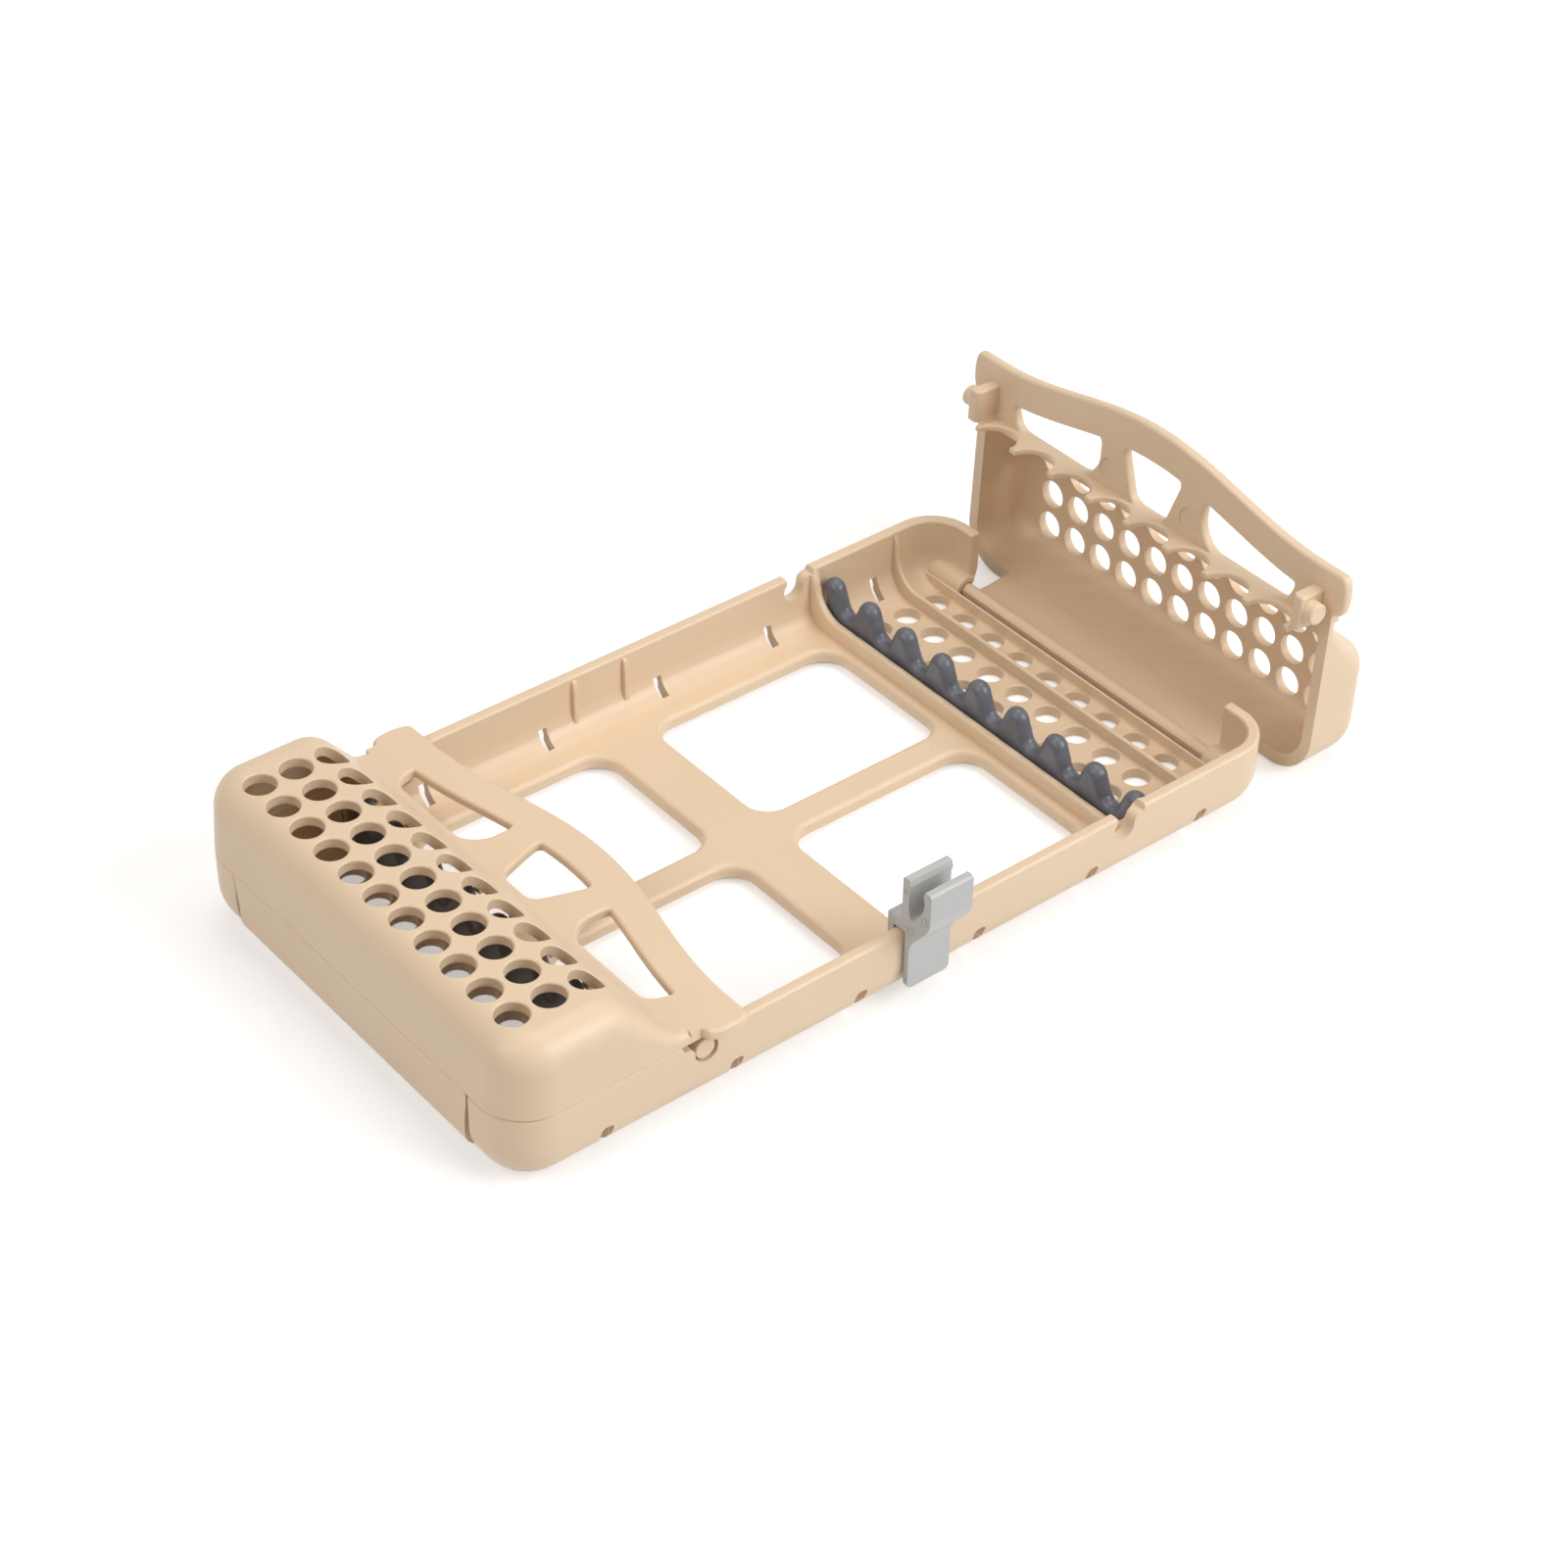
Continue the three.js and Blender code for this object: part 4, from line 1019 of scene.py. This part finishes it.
# Clip: a light grey moulding that straddles the near wall and slides up off it. Two
# jaws above the rim grip a tag, and round ejector marks show on its left end.
clip_length = 11.3
pale, deep = (0.53, 0.53, 0.515), (0.49, 0.49, 0.475)
grey = moulded_plastic("grey_plastic", pale, deep, roughness=0.4, grain=0.1)


def clip_outline():
    """The clip's section in Y and Z: saddle, outer leg, and the slot between two jaws."""
    rim = wall_height + gap
    inside, outside = -(inner_y - gap), -(side_y + gap)
    jaw, leg, skirt, skirt_depth, leg_foot = 2.0, 1.45, 1.9, 7.0, 4.8
    inner_face = -side_y - 1.2
    back = inner_face + jaw
    outer_face = -side_y - 7.9
    slot_face = outer_face + jaw
    plate = outside - leg
    tip, shoulder, bridge = wall_height + 14.4, wall_height + 7.5, rim + 2.4
    plate_top = shoulder - 12
    throat_floor = wall_height + 4.1
    throat_top = throat_floor + 4.0
    throat_low = (inner_face - 1.7, throat_floor + 0.9)
    throat_bend = (inner_face - 2.9, throat_floor + 2.5)
    barb, barb_height = 0.5, 2.8
    points = [(inside, rim - skirt_depth), (inside, rim), (outside, rim)]
    points += [(outside, leg_foot), (plate, leg_foot)]
    bends = [(plate, rim), (outer_face, bridge)]
    points += curve((plate, plate_top), *bends, (outer_face, shoulder), steps=14)
    points += [(outer_face, tip - barb), (outer_face + barb, tip), (slot_face, tip)]
    points.append((slot_face + barb, tip - barb_height / 2))
    bends = [(slot_face, throat_top), throat_bend]
    points += curve((slot_face, tip - barb_height), *bends, throat_low, steps=10)
    bends = [(inner_face - 1.2, throat_floor), (inner_face, throat_floor)]
    points += curve(throat_low, *bends, (inner_face, throat_top), steps=8)[1:]
    points += [(inner_face, tip - barb_height), (inner_face - barb, tip - barb_height / 2)]
    points += [(inner_face, tip), (back - barb, tip), (back, tip - barb)]
    bends = [(back, bridge), (back, bridge)]
    points += curve((back, shoulder), *bends, (inside + skirt, bridge), steps=10)
    points.append((inside + skirt, rim - skirt_depth))
    return points


clip_foot, clip_foot_round, clip_round = 5, 1.4, 0.3
mark_depth, mark_width = 0.15, 0.2
face = -clip_length / 2
clip = prism(clip_outline(), face, clip_length / 2, "X", "clip")
softened(clip, clip_foot_round, 6, lambda a, b: max(a.z, b.z) < clip_foot and abs(a.x - b.x) < touch)
softened(clip, clip_round, 3, lambda a, b: True)
marks = ((-57.4, 30.1, 0.65), (-63.3, 25.9, 1.0), (-59.3, 20.7, 1.0), (-58.2, 7.2, 0.45))
for y, z, radius in marks:
    outer, inner = [
        [(y + u, z + v) for u, v in circle(size)] for size in (radius, radius - mark_width)
    ]
    groove = prism(outer, face - 1, face + mark_depth, "X", "ejector_mark")
    worked(groove, "DIFFERENCE", prism(inner, face - 2, face + 1, "X", "mark_core"))
    worked(clip, "DIFFERENCE", groove)
clip_fine = finished(clip, "side_clip_moulding", grey)
bpy.data.objects.remove(clip)
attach(clip_fine, "side_clip")
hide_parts("side_clip")

# Studio: a floor of white paper that brightens away from the part, three soft boxes,
# and the camera where the photograph was taken from.
floor_size, under_part = 6.0, 0.0002
corners = rectangle(-floor_size, floor_size, -floor_size, floor_size)
ground = bpy.data.meshes.new("studio_floor")
ground.from_pydata([(x, y, -under_part) for x, y in corners], [], [(0, 1, 2, 3)])
studio_floor = bpy.data.objects.new("studio_floor", ground)
scene.collection.objects.link(studio_floor)


def seen_rays(nodes, links):
    """One for a ray from the camera or a reflection, and nought for light that bounces."""
    rays = nodes.new("ShaderNodeLightPath")
    seen = nodes.new("ShaderNodeMath")
    seen.operation = "MAXIMUM"
    links.new(rays.outputs["Is Camera Ray"], seen.inputs[0])
    links.new(rays.outputs["Is Glossy Ray"], seen.inputs[1])
    return seen.outputs["Value"]


def white_paper():
    """Matt white paper, lifted where it is seen, and more so away from the part."""
    material, nodes, links, surface, place = new_surface("white_paper")
    white = (1, 1, 1, 1)
    set_inputs(surface, {"Base Color": (0.8, 0.8, 0.8, 1), "Roughness": 0.9})
    set_inputs(surface, {"Specular IOR Level": 0.0, "Emission Color": white})
    distance = nodes.new("ShaderNodeVectorMath")
    distance.operation = "LENGTH"
    links.new(place, distance.inputs[0])
    whitening = nodes.new("ShaderNodeMapRange")
    set_inputs(whitening, {"From Min": 0.3, "From Max": 1.0, "To Min": 0.42, "To Max": 1.0})
    links.new(distance.outputs["Value"], whitening.inputs["Value"])
    lift = nodes.new("ShaderNodeMath")
    lift.operation = "MULTIPLY"
    links.new(whitening.outputs["Result"], lift.inputs[1])
    links.new(seen_rays(nodes, links), lift.inputs[0])
    links.new(lift.outputs["Value"], surface.inputs["Emission Strength"])
    return material


ground.materials.append(white_paper())

world = bpy.data.worlds.new("studio_white")
scene.world = world
world.use_nodes = True
world_nodes, world_links = world.node_tree.nodes, world.node_tree.links
sky = world_nodes["Background"]
sky.inputs["Color"].default_value = (1, 1, 1, 1)
sky_level = world_nodes.new("ShaderNodeMapRange")
set_inputs(sky_level, {"To Min": 0.22, "To Max": 1.0})
world_links.new(seen_rays(world_nodes, world_links), sky_level.inputs["Value"])
world_links.new(sky_level.outputs["Result"], sky.inputs["Strength"])


def soft_box(name, place, aim, size, power, color):
    """A large square lamp at a place, turned to a point."""
    data = bpy.data.lights.new(name, "AREA")
    data.shape = "SQUARE"
    data.size = size
    data.energy = power
    data.color = color
    lamp = bpy.data.objects.new(name, data)
    lamp.location = place
    lamp.rotation_euler = (Vector(aim) - Vector(place)).to_track_quat("-Z", "Y").to_euler()
    scene.collection.objects.link(lamp)


part_middle = (0, 0, 0.02)
soft_box("soft_box_key", (0.55, -0.95, 0.75), part_middle, size=0.8, power=11.5, color=(0.93, 0.96, 1))
soft_box("soft_box_left", (-1.0, 0.1, 1.0), part_middle, size=0.9, power=6, color=(1, 0.97, 0.98))
soft_box("soft_box_top", (0.2, 0.1, 1.1), (0.05, 0, 0), size=0.7, power=4, color=(1, 0.95, 0.86))

camera_data = bpy.data.cameras.new("photo_camera")
camera_data.sensor_width = 36
camera_data.sensor_fit = "HORIZONTAL"
camera_data.lens = 79.757
camera_data.shift_x = -0.00562
camera_data.shift_y = -0.01661
camera_data.clip_start = 0.05
camera_data.clip_end = 20
camera = bpy.data.objects.new("photo_camera", camera_data)
right = Vector((0.77805, -0.62807, 0.01309))
up = Vector((0.37655, 0.48295, 0.79055))
back_axis = Vector((-0.50284, -0.61015, 0.61226))
camera_place = (-0.36360, -0.45537, 0.47752)
camera_turn = Matrix((right, up, back_axis)).transposed().to_4x4()
camera.matrix_world = Matrix.Translation(camera_place) @ camera_turn
scene.collection.objects.link(camera)
scene.camera = camera
scene.view_settings.view_transform = "Standard"
